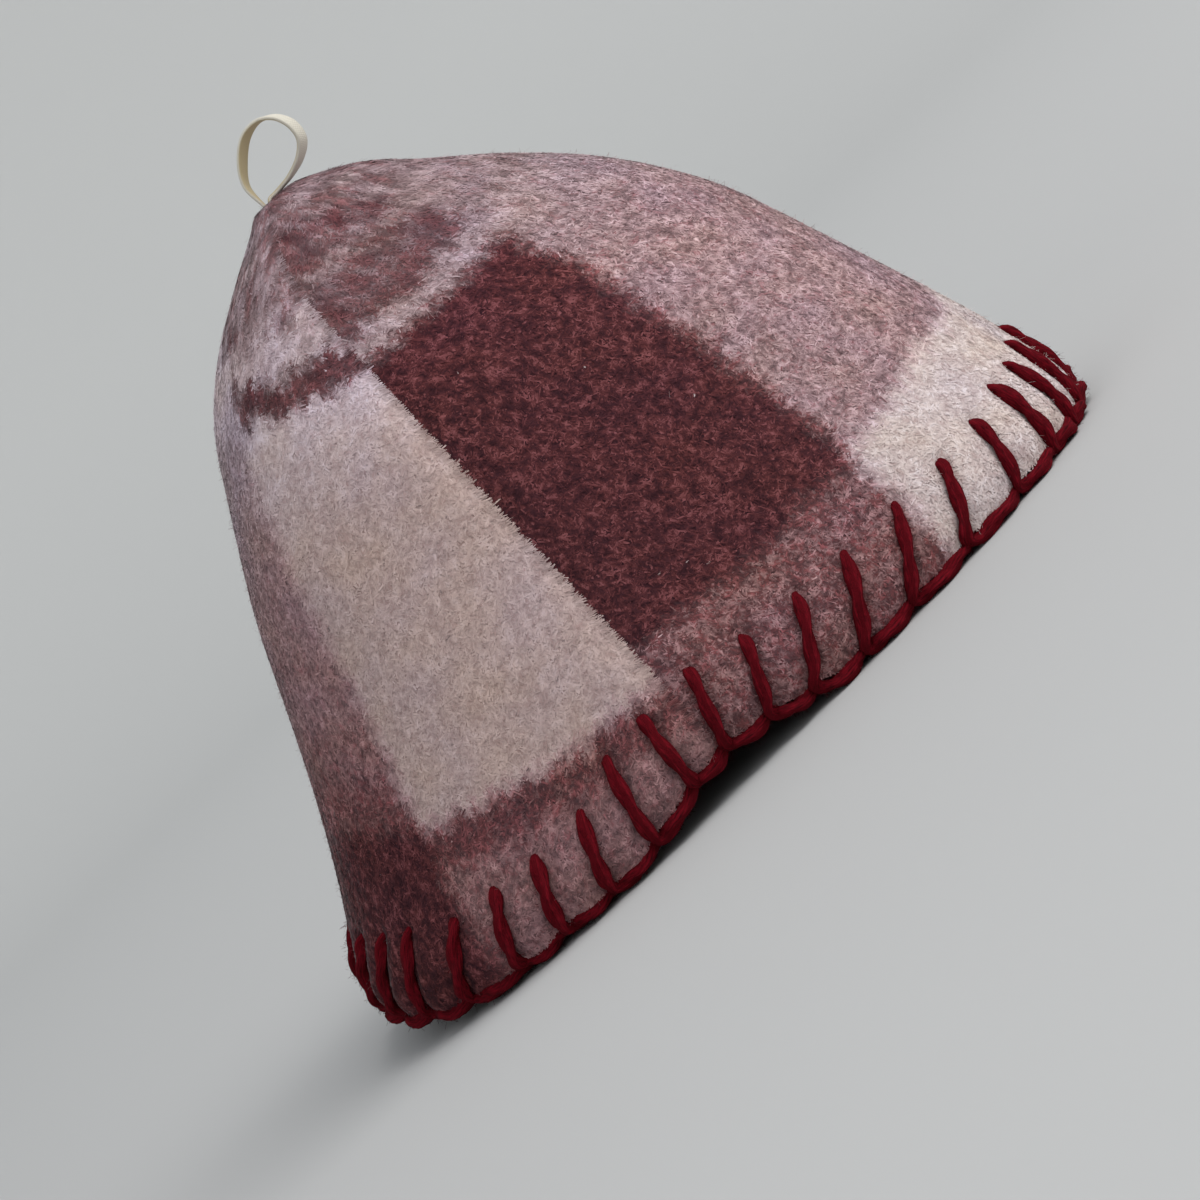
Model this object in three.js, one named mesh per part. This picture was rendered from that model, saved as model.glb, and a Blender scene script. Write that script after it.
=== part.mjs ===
// Sauna hat: a bell of thick felted blanket cloth, sewn from four gores, with a blanket-stitched
// rim and a tape loop at the crown to hang it up by.
// Millimetres, +Z up. +X points to the forehead and +Y to the wearer's left. The hat stands on its
// rim, and the origin lies on the surface that it stands on, in the middle of the rim.
import * as THREE from "three";

// ---- Driving dimensions -------------------------------------------------------------------------
const FELT_THICKNESS = 3;
const YARN_THICKNESS = 4.4; // the edging yarn, which runs along the edge of the cloth
const CONTACT_GAP = 0.3; // between two pieces that touch
const EDGE_HEIGHT = YARN_THICKNESS + CONTACT_GAP; // the cloth ends above the yarn

// The hanging loop's tape. Both of its ends go down through the crown, back to back.
const TAPE = { width: 5.5, thickness: 1.3, edge: 0.35 };
const END_SPREAD = (TAPE.thickness + CONTACT_GAP) / 2; // of each tape end from the crown's axis

// The bell's outer face, one row for each level, from the cloth's edge to the crown. height is
// above the edge. back, seam and front are places along X: the back seam, both side seams and
// the front seam. side is the half width. square is the superellipse's exponent: 2 is an
// ellipse, and more is flatter along the sides. The last row is the slot that the tape fills.
const CROWN_X = 1.5;
const SLOT_AHEAD = END_SPREAD + TAPE.thickness / 2 + CONTACT_GAP;
const SLOT_ASIDE = TAPE.width / 2 + CONTACT_GAP;
const BELL = [
  { height: 0, back: -143.2, seam: -13.5, front: 143.3, side: 94.5, square: 2.5 },
  { height: 6, back: -143.7, seam: -13.5, front: 143.2, side: 96.5, square: 2.5 },
  { height: 16, back: -140.2, seam: -13.3, front: 140.9, side: 96.5, square: 2.5 },
  { height: 34, back: -130.0, seam: -13.0, front: 136.0, side: 93.5, square: 2.45 },
  { height: 60, back: -116.2, seam: -12.7, front: 128.1, side: 88.0, square: 2.4 },
  { height: 92, back: -101.2, seam: -12.3, front: 116.8, side: 80.5, square: 2.35 },
  { height: 124, back: -86.8, seam: -11.8, front: 104.0, side: 71.5, square: 2.3 },
  { height: 150, back: -72.6, seam: -11.4, front: 86.9, side: 61.0, square: 2.25 },
  { height: 172, back: -58.2, seam: -11.0, front: 65.6, side: 49.5, square: 2.2 },
  { height: 188, back: -41.2, seam: -9.2, front: 46.6, side: 37.5, square: 2.15 },
  { height: 200, back: -22.6, seam: -5.2, front: 33.2, side: 25.0, square: 2.1 },
  { height: 207.5, back: -9.4, seam: -0.6, front: 20.2, side: 13.5, square: 2.1 },
  { height: 211.1, back: -4.0, seam: 1.2, front: 11.0, side: 7.0, square: 3 },
  {
    height: 211.3,
    back: CROWN_X - SLOT_AHEAD,
    seam: CROWN_X,
    front: CROWN_X + SLOT_AHEAD,
    side: SLOT_ASIDE,
    square: 8,
  },
];
const CROWN_TOP = EDGE_HEIGHT + BELL[BELL.length - 1].height;

// Each gore's lower edge is cut to a curve, so the rim rises to a shallow notch at each seam.
// reach is how far from the seam a notch begins.
const SIDE_NOTCH = { rise: 8, reach: 45 };
const FRONT_NOTCH = { rise: 6, reach: 45 };
const BACK_NOTCH = { rise: 12, reach: 85 };

const SEAM_DIP = 1.2; // how far a seam draws the cloth in
const SEAM_DIP_REACH = 4;
const SEAM_DIP_FADE = 40; // nearer the crown's axis than this, a dip dies away

const GORE_COLUMNS = 18;
const GORE_ROWS = 24;
const YARN_STEPS = 112;
const YARN_SIDES = 8;
const LOOP_STEPS = 52;

// The loop's centre line, from one end to the other. x and y are from the crown's axis, and z
// is above the crown. twist turns the tape about its own line, in degrees.
const LOOP = [
  { x: -END_SPREAD, y: 0, z: -14, twist: 0 },
  { x: -END_SPREAD, y: 0, z: -5, twist: 0 },
  { x: -END_SPREAD, y: 0, z: 0.5, twist: 0 },
  { x: -0.6, y: 0.6, z: 8.6, twist: 12 },
  { x: 3.6, y: 0.2, z: 14.8, twist: 18 },
  { x: 9.8, y: -0.8, z: 19.6, twist: 16 },
  { x: 15.8, y: -1.9, z: 20.4, twist: 8 },
  { x: 20.4, y: -2.8, z: 17.6, twist: 2 },
  { x: 22.6, y: -3.2, z: 12.6, twist: 8 },
  { x: 21.8, y: -3.0, z: 7.4, twist: 14 },
  { x: 17.6, y: -2.2, z: 4.2, twist: 12 },
  { x: 11.2, y: -1.0, z: 3.0, twist: 6 },
  { x: 5.0, y: 0, z: 2.6, twist: 0 },
  { x: 1.8, y: 0, z: 1.7, twist: 0 },
  { x: END_SPREAD, y: 0, z: -0.4, twist: 0 },
  { x: END_SPREAD, y: 0, z: -5, twist: 0 },
  { x: END_SPREAD, y: 0, z: -14, twist: 0 },
];

// ---- The bell's surface -------------------------------------------------------------------------
const COLUMNS = ["height", "back", "seam", "front", "side", "square"];

// How far each row of BELL lies up the cloth, measured along its front and back faces.
function climbOf(rows) {
  const climb = [0];
  for (let i = 1; i < rows.length; i++) {
    const rise = rows[i].height - rows[i - 1].height;
    const narrowing = rows[i - 1].front - rows[i - 1].back - (rows[i].front - rows[i].back);
    climb.push(climb[i - 1] + Math.hypot(rise, narrowing / 2));
  }
  return climb;
}

const CLIMB = climbOf(BELL);
const BELL_CURVE = new THREE.CubicInterpolant(
  CLIMB,
  BELL.flatMap((row) => COLUMNS.map((name) => row[name])),
  COLUMNS.length,
);

// The bell's level at a share of the way up, from 0 at the edge to 1 at the crown.
function levelAt(share) {
  const values = BELL_CURVE.evaluate(share * CLIMB[CLIMB.length - 1]);
  return Object.fromEntries(COLUMNS.map((name, i) => [name, values[i]]));
}

// 1 at a distance of 0, easing to 0 at reach.
function bump(distance, reach) {
  const t = Math.min(1, Math.abs(distance) / reach);
  return (1 - t * t) ** 2;
}

// How far the rim stands above its lowest line, at a place x in front of the side seams and y
// beside the end seams.
function rimRise(x, y) {
  const end = x > 0 ? FRONT_NOTCH : BACK_NOTCH;
  return SIDE_NOTCH.rise * bump(x, SIDE_NOTCH.reach) + end.rise * bump(y, end.reach);
}

// A point of the outer face. angle turns about the side seams' axis, from 0 at the forehead.
function outerPoint(share, angle) {
  const level = levelAt(share);
  const c = Math.cos(angle);
  const s = Math.sin(angle);
  const ahead = c > 0 ? level.front - level.seam : level.seam - level.back;
  const n = level.square;
  const reach = (Math.abs(c / ahead) ** n + Math.abs(s / level.side) ** n) ** (-1 / n);
  const fromSeam = reach * Math.min(Math.abs(c), Math.abs(s));
  const fade = Math.min(1, reach / SEAM_DIP_FADE);
  const dip = SEAM_DIP * fade * Math.exp(-((fromSeam / SEAM_DIP_REACH) ** 2));
  const x = (reach - dip) * c;
  const y = (reach - dip) * s;
  const rise = rimRise(x, y) * (1 - share) ** 2;
  return new THREE.Vector3(level.seam + x, y, EDGE_HEIGHT + level.height + rise);
}

// The outward unit normal of the outer face.
function outerNormal(share, angle) {
  const step = 1e-3;
  const low = Math.max(0, share - step);
  const high = Math.min(1, share + step);
  const up = outerPoint(high, angle).sub(outerPoint(low, angle));
  const along = outerPoint(share, angle + step).sub(outerPoint(share, angle - step));
  return along.cross(up).normalize();
}

function innerPoint(share, angle) {
  return outerPoint(share, angle).addScaledVector(outerNormal(share, angle), -FELT_THICKNESS);
}

// ---- Solids from rings --------------------------------------------------------------------------
// A closed solid through rings of points that run anticlockwise seen from the last ring. The
// first half of a ring faces its second half, and the ends are closed by strips between them.
// With joined set, the last ring meets the first, and there are no ends.
function loft(rings, joined = false) {
  const count = rings[0].length;
  const indices = [];
  const quad = (a, b, c, d) => indices.push(a, b, c, a, c, d);
  const last = joined ? rings.length : rings.length - 1;
  for (let r = 0; r < last; r++) {
    const here = r * count;
    const next = ((r + 1) % rings.length) * count;
    for (let i = 0; i < count; i++) {
      const j = (i + 1) % count;
      quad(here + i, here + j, next + j, next + i);
    }
  }
  if (!joined) {
    const top = (rings.length - 1) * count;
    for (let i = 0; i < count / 2 - 1; i++) {
      const facing = count - 1 - i;
      quad(i, facing, facing - 1, i + 1);
      quad(top + i, top + i + 1, top + facing - 1, top + facing);
    }
  }
  const geometry = new THREE.BufferGeometry().setFromPoints(rings.flat());
  geometry.setIndex(indices);
  geometry.computeVertexNormals();
  return geometry;
}

// ---- Gores --------------------------------------------------------------------------------------
// Steps that are finer towards both ends. ease is 0 for even steps and 1 for the finest ends.
function eased(step, steps, ease) {
  const even = step / steps;
  return even + ease * ((1 - Math.cos(Math.PI * even)) / 2 - even);
}

// A point of the outer or the inner face, kept half a gap off the seams of its quarter turn.
function quarterPoint(face, share, angle, quarter) {
  const point = face(share, angle);
  const seam = levelAt(share).seam;
  const ahead = quarter === 0 || quarter === 3 ? 1 : -1;
  const left = quarter < 2 ? 1 : -1;
  const half = CONTACT_GAP / 2;
  point.x = seam + ahead * Math.max(half, ahead * (point.x - seam));
  point.y = left * Math.max(half, left * point.y);
  return point;
}

// One gore, which fills a quarter turn from seam to seam. Quarter 0 starts at the forehead.
function goreGeometry(quarter) {
  const rings = [];
  for (let row = 0; row <= GORE_ROWS; row++) {
    const share = eased(row, GORE_ROWS, 0.4);
    const outer = [];
    const inner = [];
    for (let column = 0; column <= GORE_COLUMNS; column++) {
      const angle = (quarter + eased(column, GORE_COLUMNS, 1)) * (Math.PI / 2);
      outer.push(quarterPoint(outerPoint, share, angle, quarter));
      inner.push(quarterPoint(innerPoint, share, angle, quarter));
    }
    rings.push([...outer, ...inner.reverse()]);
  }
  return loft(rings);
}

// ---- Edging yarn --------------------------------------------------------------------------------
// The middle of the cloth's thickness at its edge, on the surface that the hat stands on.
function edgeMiddle(angle) {
  const outer = outerPoint(0, angle);
  const inner = innerPoint(0, angle);
  const rise = outer.z - EDGE_HEIGHT;
  return new THREE.Vector3((outer.x + inner.x) / 2, (outer.y + inner.y) / 2, rise);
}

// The yarn under the cloth's edge, all round. Its sides are flat below, where it stands.
function yarnGeometry() {
  const middles = [];
  for (let step = 0; step < YARN_STEPS; step++) {
    middles.push(edgeMiddle((step / YARN_STEPS) * 2 * Math.PI));
  }
  const half = YARN_THICKNESS / 2;
  const corner = half / Math.cos(Math.PI / YARN_SIDES);
  const rings = middles.map((middle, i) => {
    const before = middles[(i + YARN_STEPS - 1) % YARN_STEPS];
    const after = middles[(i + 1) % YARN_STEPS];
    const outward = new THREE.Vector3(after.y - before.y, before.x - after.x, 0).normalize();
    const ring = [];
    for (let side = 0; side < YARN_SIDES; side++) {
      const turn = ((side + 0.5) / YARN_SIDES) * 2 * Math.PI;
      const point = middle.clone().addScaledVector(outward, -corner * Math.cos(turn));
      point.z += half + corner * Math.sin(turn);
      ring.push(point);
    }
    return ring;
  });
  return loft(rings, true);
}

// ---- Hanging loop -------------------------------------------------------------------------------
// The tape's section: a flat strip with bevelled edges, across its width and its thickness.
function tapeSection() {
  const w = TAPE.width / 2;
  const t = TAPE.thickness / 2;
  const e = TAPE.edge;
  const upper = [
    [-w, t - e],
    [-w + e, t],
    [w - e, t],
    [w, t - e],
  ];
  return [...upper, ...upper.map(([across, out]) => [across, -out]).reverse()];
}

function loopGeometry() {
  const line = new THREE.CatmullRomCurve3(
    LOOP.map(({ x, y, z }) => new THREE.Vector3(CROWN_X + x, y, CROWN_TOP + z)),
    false,
    "centripetal",
  );
  const twists = new THREE.LinearInterpolant(
    LOOP.map((_, i) => i / (LOOP.length - 1)),
    LOOP.map(({ twist }) => THREE.MathUtils.degToRad(twist)),
    1,
  );
  const leftwards = new THREE.Vector3(0, 1, 0);
  const rings = [];
  for (let step = 0; step <= LOOP_STEPS; step++) {
    const share = line.getUtoTmapping(step / LOOP_STEPS);
    const along = line.getTangent(share);
    const twist = twists.evaluate(share)[0];
    const across = leftwards.clone().addScaledVector(along, -along.dot(leftwards)).normalize();
    across.applyAxisAngle(along, twist);
    const out = along.clone().cross(across);
    const middle = line.getPoint(share);
    rings.push(
      tapeSection().map(([a, o]) =>
        middle.clone().addScaledVector(across, -a).addScaledVector(out, o),
      ),
    );
  }
  return loft(rings);
}

// ---- Assembly -----------------------------------------------------------------------------------
const MAUVE_FELT = new THREE.MeshStandardMaterial({ color: 0x9a7478, roughness: 0.95, metalness: 0 });
const CREAM_FELT = new THREE.MeshStandardMaterial({ color: 0xc2b0a8, roughness: 0.95, metalness: 0 });
const RED_YARN = new THREE.MeshStandardMaterial({ color: 0x5e0d1c, roughness: 0.9, metalness: 0 });
const CREAM_TAPE = new THREE.MeshStandardMaterial({ color: 0xe3dac0, roughness: 0.85, metalness: 0 });

function piece(name, geometry, material) {
  const mesh = new THREE.Mesh(geometry, material);
  mesh.name = name;
  return mesh;
}

const hat = new THREE.Group();
hat.add(piece("gore_front_left", goreGeometry(0), CREAM_FELT));
hat.add(piece("gore_back_left", goreGeometry(1), MAUVE_FELT));
hat.add(piece("gore_back_right", goreGeometry(2), CREAM_FELT));
hat.add(piece("gore_front_right", goreGeometry(3), MAUVE_FELT));
hat.add(piece("rim_yarn", yarnGeometry(), RED_YARN));
hat.add(piece("hanging_loop", loopGeometry(), CREAM_TAPE));

export default hat;
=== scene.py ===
"""Looks of the sauna hat: brushed plaid blanket cloth, a blanket-stitched rim and a tape loop.

The hat stands on its rim. +X points to the forehead, +Y to the wearer's left and +Z up. Sizes of
the hat are named in millimetres, and everything that goes into a mesh is in metres.
"""

from __future__ import annotations

import logging
import math
from dataclasses import astuple, dataclass, field, replace
from enum import Enum

import bpy
import numpy as np
from mathutils import Matrix, Vector

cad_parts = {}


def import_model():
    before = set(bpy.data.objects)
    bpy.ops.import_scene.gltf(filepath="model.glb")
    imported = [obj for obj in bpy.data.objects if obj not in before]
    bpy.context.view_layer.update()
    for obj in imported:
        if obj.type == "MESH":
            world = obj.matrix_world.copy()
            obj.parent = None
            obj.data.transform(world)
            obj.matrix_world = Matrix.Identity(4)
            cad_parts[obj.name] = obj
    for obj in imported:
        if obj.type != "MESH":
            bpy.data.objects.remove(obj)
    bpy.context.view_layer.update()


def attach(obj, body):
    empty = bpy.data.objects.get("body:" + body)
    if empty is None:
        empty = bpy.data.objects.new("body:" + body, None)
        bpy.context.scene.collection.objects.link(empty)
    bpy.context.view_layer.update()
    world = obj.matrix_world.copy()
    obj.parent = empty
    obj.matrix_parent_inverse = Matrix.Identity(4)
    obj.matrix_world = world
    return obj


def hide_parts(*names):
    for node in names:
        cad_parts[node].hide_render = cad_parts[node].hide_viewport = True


MM = 0.001
BODY = "root"
CLOTH_MAP = "Cloth"  # where a point lies on the flat gore, in metres
THREAD_MAP = "Thread"  # two random shares that are the same all over one fibre
STRAND_MAP = "Strand"  # metres along a strand, and the share of the way round it
BAKE_MAP = "OFBake"
FLOOR_GAP = 0.2  # millimetres that the loose fibres stay above the floor
ROOT_WIDTH, TIP_WIDTH = 0.8, 0.7  # shares of a fibre's width that its two ends have
LATTICE = 256  # how many lumps a relief has each way before they come round again
BAKE_SHIFT = (0.5, 0.02)  # puts the whole of a flat gore inside the baked square
Colour = tuple[float, float, float]
LOG = logging.getLogger("sauna_hat")


# ---- Making and finishing meshes -----------------------------------------------------------------


def deselect_all() -> None:
    """Leaves nothing selected, so that an operator acts only on what is picked next."""
    if bpy.context.object and bpy.context.object.mode != "OBJECT":
        bpy.ops.object.mode_set(mode="OBJECT")
    bpy.ops.object.select_all(action="DESELECT")


def pick(piece: bpy.types.Object) -> None:
    """Makes a piece the only selected and the active one."""
    deselect_all()
    piece.select_set(True)
    bpy.context.view_layer.objects.active = piece


def added(name: str) -> bpy.types.Object:
    """Names the primitive that was just added, and its mesh, and gives the piece."""
    piece = bpy.context.object
    piece.name = piece.data.name = name
    return piece


def finish_with(piece: bpy.types.Object, kind: str, **settings: object) -> None:
    """Adds one modifier to a piece and applies it.

    Args:
        piece: the piece.
        kind: the modifier's type.
        settings: the modifier's own settings.
    """
    pick(piece)
    modifier = piece.modifiers.new(kind.title(), kind)
    for name, value in settings.items():
        setattr(modifier, name, value)
    bpy.ops.object.modifier_apply(modifier=modifier.name)


def smooth(piece: bpy.types.Object) -> None:
    """Shades a piece smooth all over."""
    pick(piece)
    bpy.ops.object.shade_smooth()


def points_of(mesh: bpy.types.Mesh) -> np.ndarray:
    """The places of a mesh's vertices, one row each."""
    flat = np.empty(len(mesh.vertices) * 3)
    mesh.vertices.foreach_get("co", flat)
    return flat.reshape(-1, 3)


def set_points(mesh: bpy.types.Mesh, points: np.ndarray) -> None:
    """Moves a mesh's vertices to new places, one row each."""
    mesh.vertices.foreach_set("co", np.ascontiguousarray(points, float).ravel())
    mesh.update()


def set_map(mesh: bpy.types.Mesh, name: str, places: np.ndarray) -> None:
    """Gives a mesh a UV map from one place for each vertex.

    Args:
        mesh: the mesh.
        name: the map's name.
        places: two columns, a row for each vertex.
    """
    corners = np.empty(len(mesh.loops), int)
    mesh.loops.foreach_get("vertex_index", corners)
    layer = mesh.uv_layers.get(name) or mesh.uv_layers.new(name=name)
    layer.data.foreach_set("uv", np.ascontiguousarray(places[corners], float).ravel())


def wear(piece: bpy.types.Object, finish: bpy.types.Material) -> None:
    """Gives a piece its finish and its slot, and has it ride on the hat.

    Args:
        piece: the piece.
        finish: its material.
    """
    piece.data.materials.append(finish)
    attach(piece, BODY)


def unit(vectors: np.ndarray) -> np.ndarray:
    """The vectors scaled to a length of 1."""
    return vectors / np.maximum(np.linalg.norm(vectors, axis=-1, keepdims=True), 1e-12)


def running(steps: np.ndarray) -> np.ndarray:
    """The running total of the steps, from 0."""
    return np.concatenate([[0.0], np.cumsum(steps)])


def lengths_along(line: np.ndarray) -> np.ndarray:
    """How far each place of a line lies along it."""
    return running(np.linalg.norm(np.diff(line, axis=0), axis=1))


def smooth_through(knots: np.ndarray, values: np.ndarray, at: np.ndarray) -> np.ndarray:
    """Reads a smooth curve that goes through given values.

    Args:
        knots: where the values stand, in growing order.
        values: the values, a row for each knot.
        at: where to read the curve.

    Returns:
        The curve's values, with the columns of a row as the last axis.
    """
    secants = np.diff(values, axis=0) / np.diff(knots)[:, None]
    slopes = np.concatenate([secants[:1], (secants[:-1] + secants[1:]) / 2, secants[-1:]])
    i = np.clip(np.searchsorted(knots, at, side="right") - 1, 0, len(knots) - 2)
    gap = (knots[i + 1] - knots[i])[..., None]
    t = (at - knots[i])[..., None] / gap
    return (
        (2 * t**3 - 3 * t**2 + 1) * values[i]
        + (t**3 - 2 * t**2 + t) * gap * slopes[i]
        + (3 * t**2 - 2 * t**3) * values[i + 1]
        + (t**3 - t**2) * gap * slopes[i + 1]
    )


def scatter_triangles(
    name: str, points: np.ndarray, faces: np.ndarray, normals: np.ndarray
) -> bpy.types.Object:
    """Makes one piece of many small triangles at once, which no operator can.

    Args:
        name: the piece's name.
        points: the vertices, one row each.
        faces: the vertices' numbers, three a row.
        normals: the direction that each vertex is shaded by.

    Returns:
        The piece, shaded smooth.
    """
    mesh = bpy.data.meshes.new(name)
    mesh.vertices.add(len(points))
    mesh.vertices.foreach_set("co", np.ascontiguousarray(points, float).ravel())
    mesh.loops.add(faces.size)
    mesh.loops.foreach_set("vertex_index", np.ascontiguousarray(faces, np.int32).ravel())
    mesh.polygons.add(len(faces))
    mesh.polygons.foreach_set("loop_start", np.arange(0, faces.size, 3, dtype=np.int32))
    mesh.update(calc_edges=True)
    piece = bpy.data.objects.new(name, mesh)
    bpy.context.scene.collection.objects.link(piece)
    smooth(piece)
    mesh.normals_split_custom_set_from_vertices(normals)
    return piece


def own_cells(places: np.ndarray) -> np.ndarray:
    """Gives each of many small fibres a cell of its own in a square map, close to its neighbours.

    Args:
        places: where each fibre lies, two columns.

    Returns:
        The map's places, one for each of a fibre's four vertices.
    """
    count = len(places)
    side = math.ceil(math.sqrt(count))
    rank = np.empty(count, int)
    by_height = np.argsort(places[:, 1], kind="stable")
    for row in range(side):
        part = by_height[row * side : (row + 1) * side]
        rank[part[np.argsort(places[part, 0], kind="stable")]] = row * side + np.arange(len(part))
    near, far = 0.1, 0.9  # shares of a cell's side, so that a fibre keeps clear of its neighbours
    shape = np.array([(near, near), (far, near), (near, far), (far, far)])
    corner = np.stack([rank % side, rank // side], axis=-1)
    return ((corner[:, None, :] + shape[None]) / side).reshape(-1, 2)


def flakes(
    name: str, ends: tuple[np.ndarray, np.ndarray], half: np.ndarray, normals: np.ndarray
) -> bpy.types.Object:
    """Makes one piece of many flat fibres, each a narrow four-cornered flake.

    Args:
        name: the piece's name.
        ends: the places of the fibres' roots and tips, in millimetres.
        half: from the middle of each fibre to its side.
        normals: the direction that each of a fibre's four corners is shaded by, a row each.

    Returns:
        The piece.
    """
    root, tip = ends
    at_root, at_tip = half * ROOT_WIDTH, half * TIP_WIDTH
    corners = (root - at_root, root + at_root, tip - at_tip, tip + at_tip)
    points = np.stack(corners, axis=1).reshape(-1, 3)
    points[:, 2] = np.maximum(points[:, 2], FLOOR_GAP)
    points = points * MM
    first = np.arange(len(root))[:, None] * 4
    faces = np.concatenate([first + (0, 3, 1), first + (0, 2, 3)], axis=1).reshape(-1, 3)
    return scatter_triangles(name, points, faces, normals)


@dataclass(frozen=True)
class Chance:
    """A random size: the least that it may be, and how much more at most."""

    least: float
    more: float

    def draw(self, rng: np.random.Generator, count: int | tuple[int, int]) -> np.ndarray:
        """Draws as many sizes as asked for, evenly spread."""
        return self.least + self.more * rng.random(count)


# ---- The bell's shape ----------------------------------------------------------------------------


class Quarter(Enum):
    """A gore's quarter turn about the side seams, counted from the forehead."""

    FRONT_LEFT = 0
    BACK_LEFT = 1
    BACK_RIGHT = 2
    FRONT_RIGHT = 3

    @property
    def gore(self) -> str:
        """The name of the gore's CAD node."""
        return f"gore_{self.name.lower()}"

    @property
    def forwards(self) -> int:
        """1 where going round by a growing angle leads to the forehead, and -1 elsewhere."""
        return 1 if self.value >= 2 else -1


@dataclass(frozen=True)
class BellRow:
    """One level of the bell's outer face, in millimetres, as the hat's solids have it."""

    height: float
    back: float
    seam: float
    front: float
    side: float
    square: float


@dataclass(frozen=True)
class Notch:
    """Where the rim rises to a seam, in millimetres."""

    rise: float
    reach: float


def bump(distance: np.ndarray, reach: float) -> np.ndarray:
    """1 at a distance of 0, easing to 0 at reach."""
    t = np.minimum(1.0, np.abs(distance) / reach)
    return (1 - t * t) ** 2


@dataclass(frozen=True)
class Bell:
    """The cloth's outer face from the rim to the crown, as the hat's solids have it."""

    edge_height: float = 4.7
    felt: float = 3.0
    rows: tuple[BellRow, ...] = (
        BellRow(0, -143.2, -13.5, 143.3, 94.5, 2.5),
        BellRow(6, -143.7, -13.5, 143.2, 96.5, 2.5),
        BellRow(16, -140.2, -13.3, 140.9, 96.5, 2.5),
        BellRow(34, -130.0, -13.0, 136.0, 93.5, 2.45),
        BellRow(60, -116.2, -12.7, 128.1, 88.0, 2.4),
        BellRow(92, -101.2, -12.3, 116.8, 80.5, 2.35),
        BellRow(124, -86.8, -11.8, 104.0, 71.5, 2.3),
        BellRow(150, -72.6, -11.4, 86.9, 61.0, 2.25),
        BellRow(172, -58.2, -11.0, 65.6, 49.5, 2.2),
        BellRow(188, -41.2, -9.2, 46.6, 37.5, 2.15),
        BellRow(200, -22.6, -5.2, 33.2, 25.0, 2.1),
        BellRow(207.5, -9.4, -0.6, 20.2, 13.5, 2.1),
        BellRow(211.1, -4.0, 1.2, 11.0, 7.0, 3.0),
        BellRow(211.3, -0.25, 1.5, 3.25, 3.05, 8.0),
    )
    side_notch: Notch = Notch(8, 45)
    front_notch: Notch = Notch(6, 45)
    back_notch: Notch = Notch(12, 85)
    seam_dip: float = 1.2
    seam_dip_reach: float = 4.0
    seam_dip_fade: float = 40.0

    @property
    def table(self) -> np.ndarray:
        """The rows as numbers, one column for each of their fields."""
        return np.array([astuple(row) for row in self.rows])

    @property
    def climbs(self) -> np.ndarray:
        """How far each row lies up the cloth, in millimetres."""
        table = self.table
        narrowing = np.diff(table[:, 3] - table[:, 1]) / 2
        return running(np.hypot(np.diff(table[:, 0]), narrowing))

    def level(self, share: np.ndarray) -> np.ndarray:
        """The bell's levels on a smooth curve through its rows.

        Args:
            share: the share of the way up, from 0 at the edge to 1 at the crown.

        Returns:
            The levels, with a column for each field of a row.
        """
        climbs = self.climbs
        return smooth_through(climbs, self.table, np.clip(share, 0, 1) * climbs[-1])

    def rim_rise(self, x: np.ndarray, y: np.ndarray) -> np.ndarray:
        """How far the rim rises at a place by the side seams, in millimetres."""
        end = np.where(
            x > 0,
            self.front_notch.rise * bump(y, self.front_notch.reach),
            self.back_notch.rise * bump(y, self.back_notch.reach),
        )
        return self.side_notch.rise * bump(x, self.side_notch.reach) + end

    def point(self, share: np.ndarray, angle: np.ndarray) -> np.ndarray:
        """Points of the outer face, in millimetres.

        Args:
            share: the share of the way up the cloth.
            angle: the turn about the side seams, from 0 at the forehead.

        Returns:
            The points, with X, Y and Z as the last axis.
        """
        height, back, seam, front, side, square = np.moveaxis(self.level(share), -1, 0)
        c, s = np.cos(angle), np.sin(angle)
        ahead = np.where(c > 0, front - seam, seam - back)
        reach = (np.abs(c / ahead) ** square + np.abs(s / side) ** square) ** (-1 / square)
        from_seam = reach * np.minimum(np.abs(c), np.abs(s))
        fade = np.minimum(1, reach / self.seam_dip_fade)
        reach = reach - self.seam_dip * fade * np.exp(-((from_seam / self.seam_dip_reach) ** 2))
        x, y = reach * c, reach * s
        rise = self.rim_rise(x, y) * (1 - share) ** 2
        return np.stack([seam + x, y, self.edge_height + height + rise], axis=-1)


# ---- The stitches' places ------------------------------------------------------------------------


@dataclass(frozen=True)
class Leg:
    """One stitch's leg: where its foot and its top stand, going round, and its height.

    On the chart the places are in millimetres from the middle of the gore, and on the sewn cloth
    they are turns. Hang is 1 where the leg's run hangs clear below the cloth's edge, and 0 where
    it is tucked under it.
    """

    base: float
    top: float
    height: float
    hang: float = 1.0


@dataclass(frozen=True)
class StitchChart:
    """The legs of the blanket stitch on a front gore and on a back one."""

    front: tuple[Leg, ...] = (
        Leg(-102.5, -94, 25),
        Leg(-87, -76, 24),
        Leg(-72, -56.5, 24.5),
        Leg(-53.5, -38.5, 23),
        Leg(-34, -17.5, 22.5),
        Leg(-10, 2.5, 21.5),
        Leg(15, 21.5, 22),
        Leg(36, 38.5, 24),
        Leg(53, 54, 24),
        Leg(67, 70.5, 25),
        Leg(86, 88, 25),
    )
    back: tuple[Leg, ...] = (
        Leg(-90, -79, 23),
        Leg(-73, -58, 25),
        Leg(-56, -40, 26),
        Leg(-38, -25, 26, 0.8),
        Leg(-17.5, -5, 22, 0.55),
        Leg(5, 13, 22, 0.25),
        Leg(23.5, 29.5, 21, 0.25),
        Leg(42, 48, 22, 0.5),
        Leg(61, 63, 26),
        Leg(81, 79.5, 24.5),
    )

    def legs(self, quarter: Quarter) -> tuple[Leg, ...]:
        """The legs on one gore."""
        in_front = (Quarter.FRONT_LEFT, Quarter.FRONT_RIGHT)
        return self.front if quarter in in_front else self.back


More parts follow.
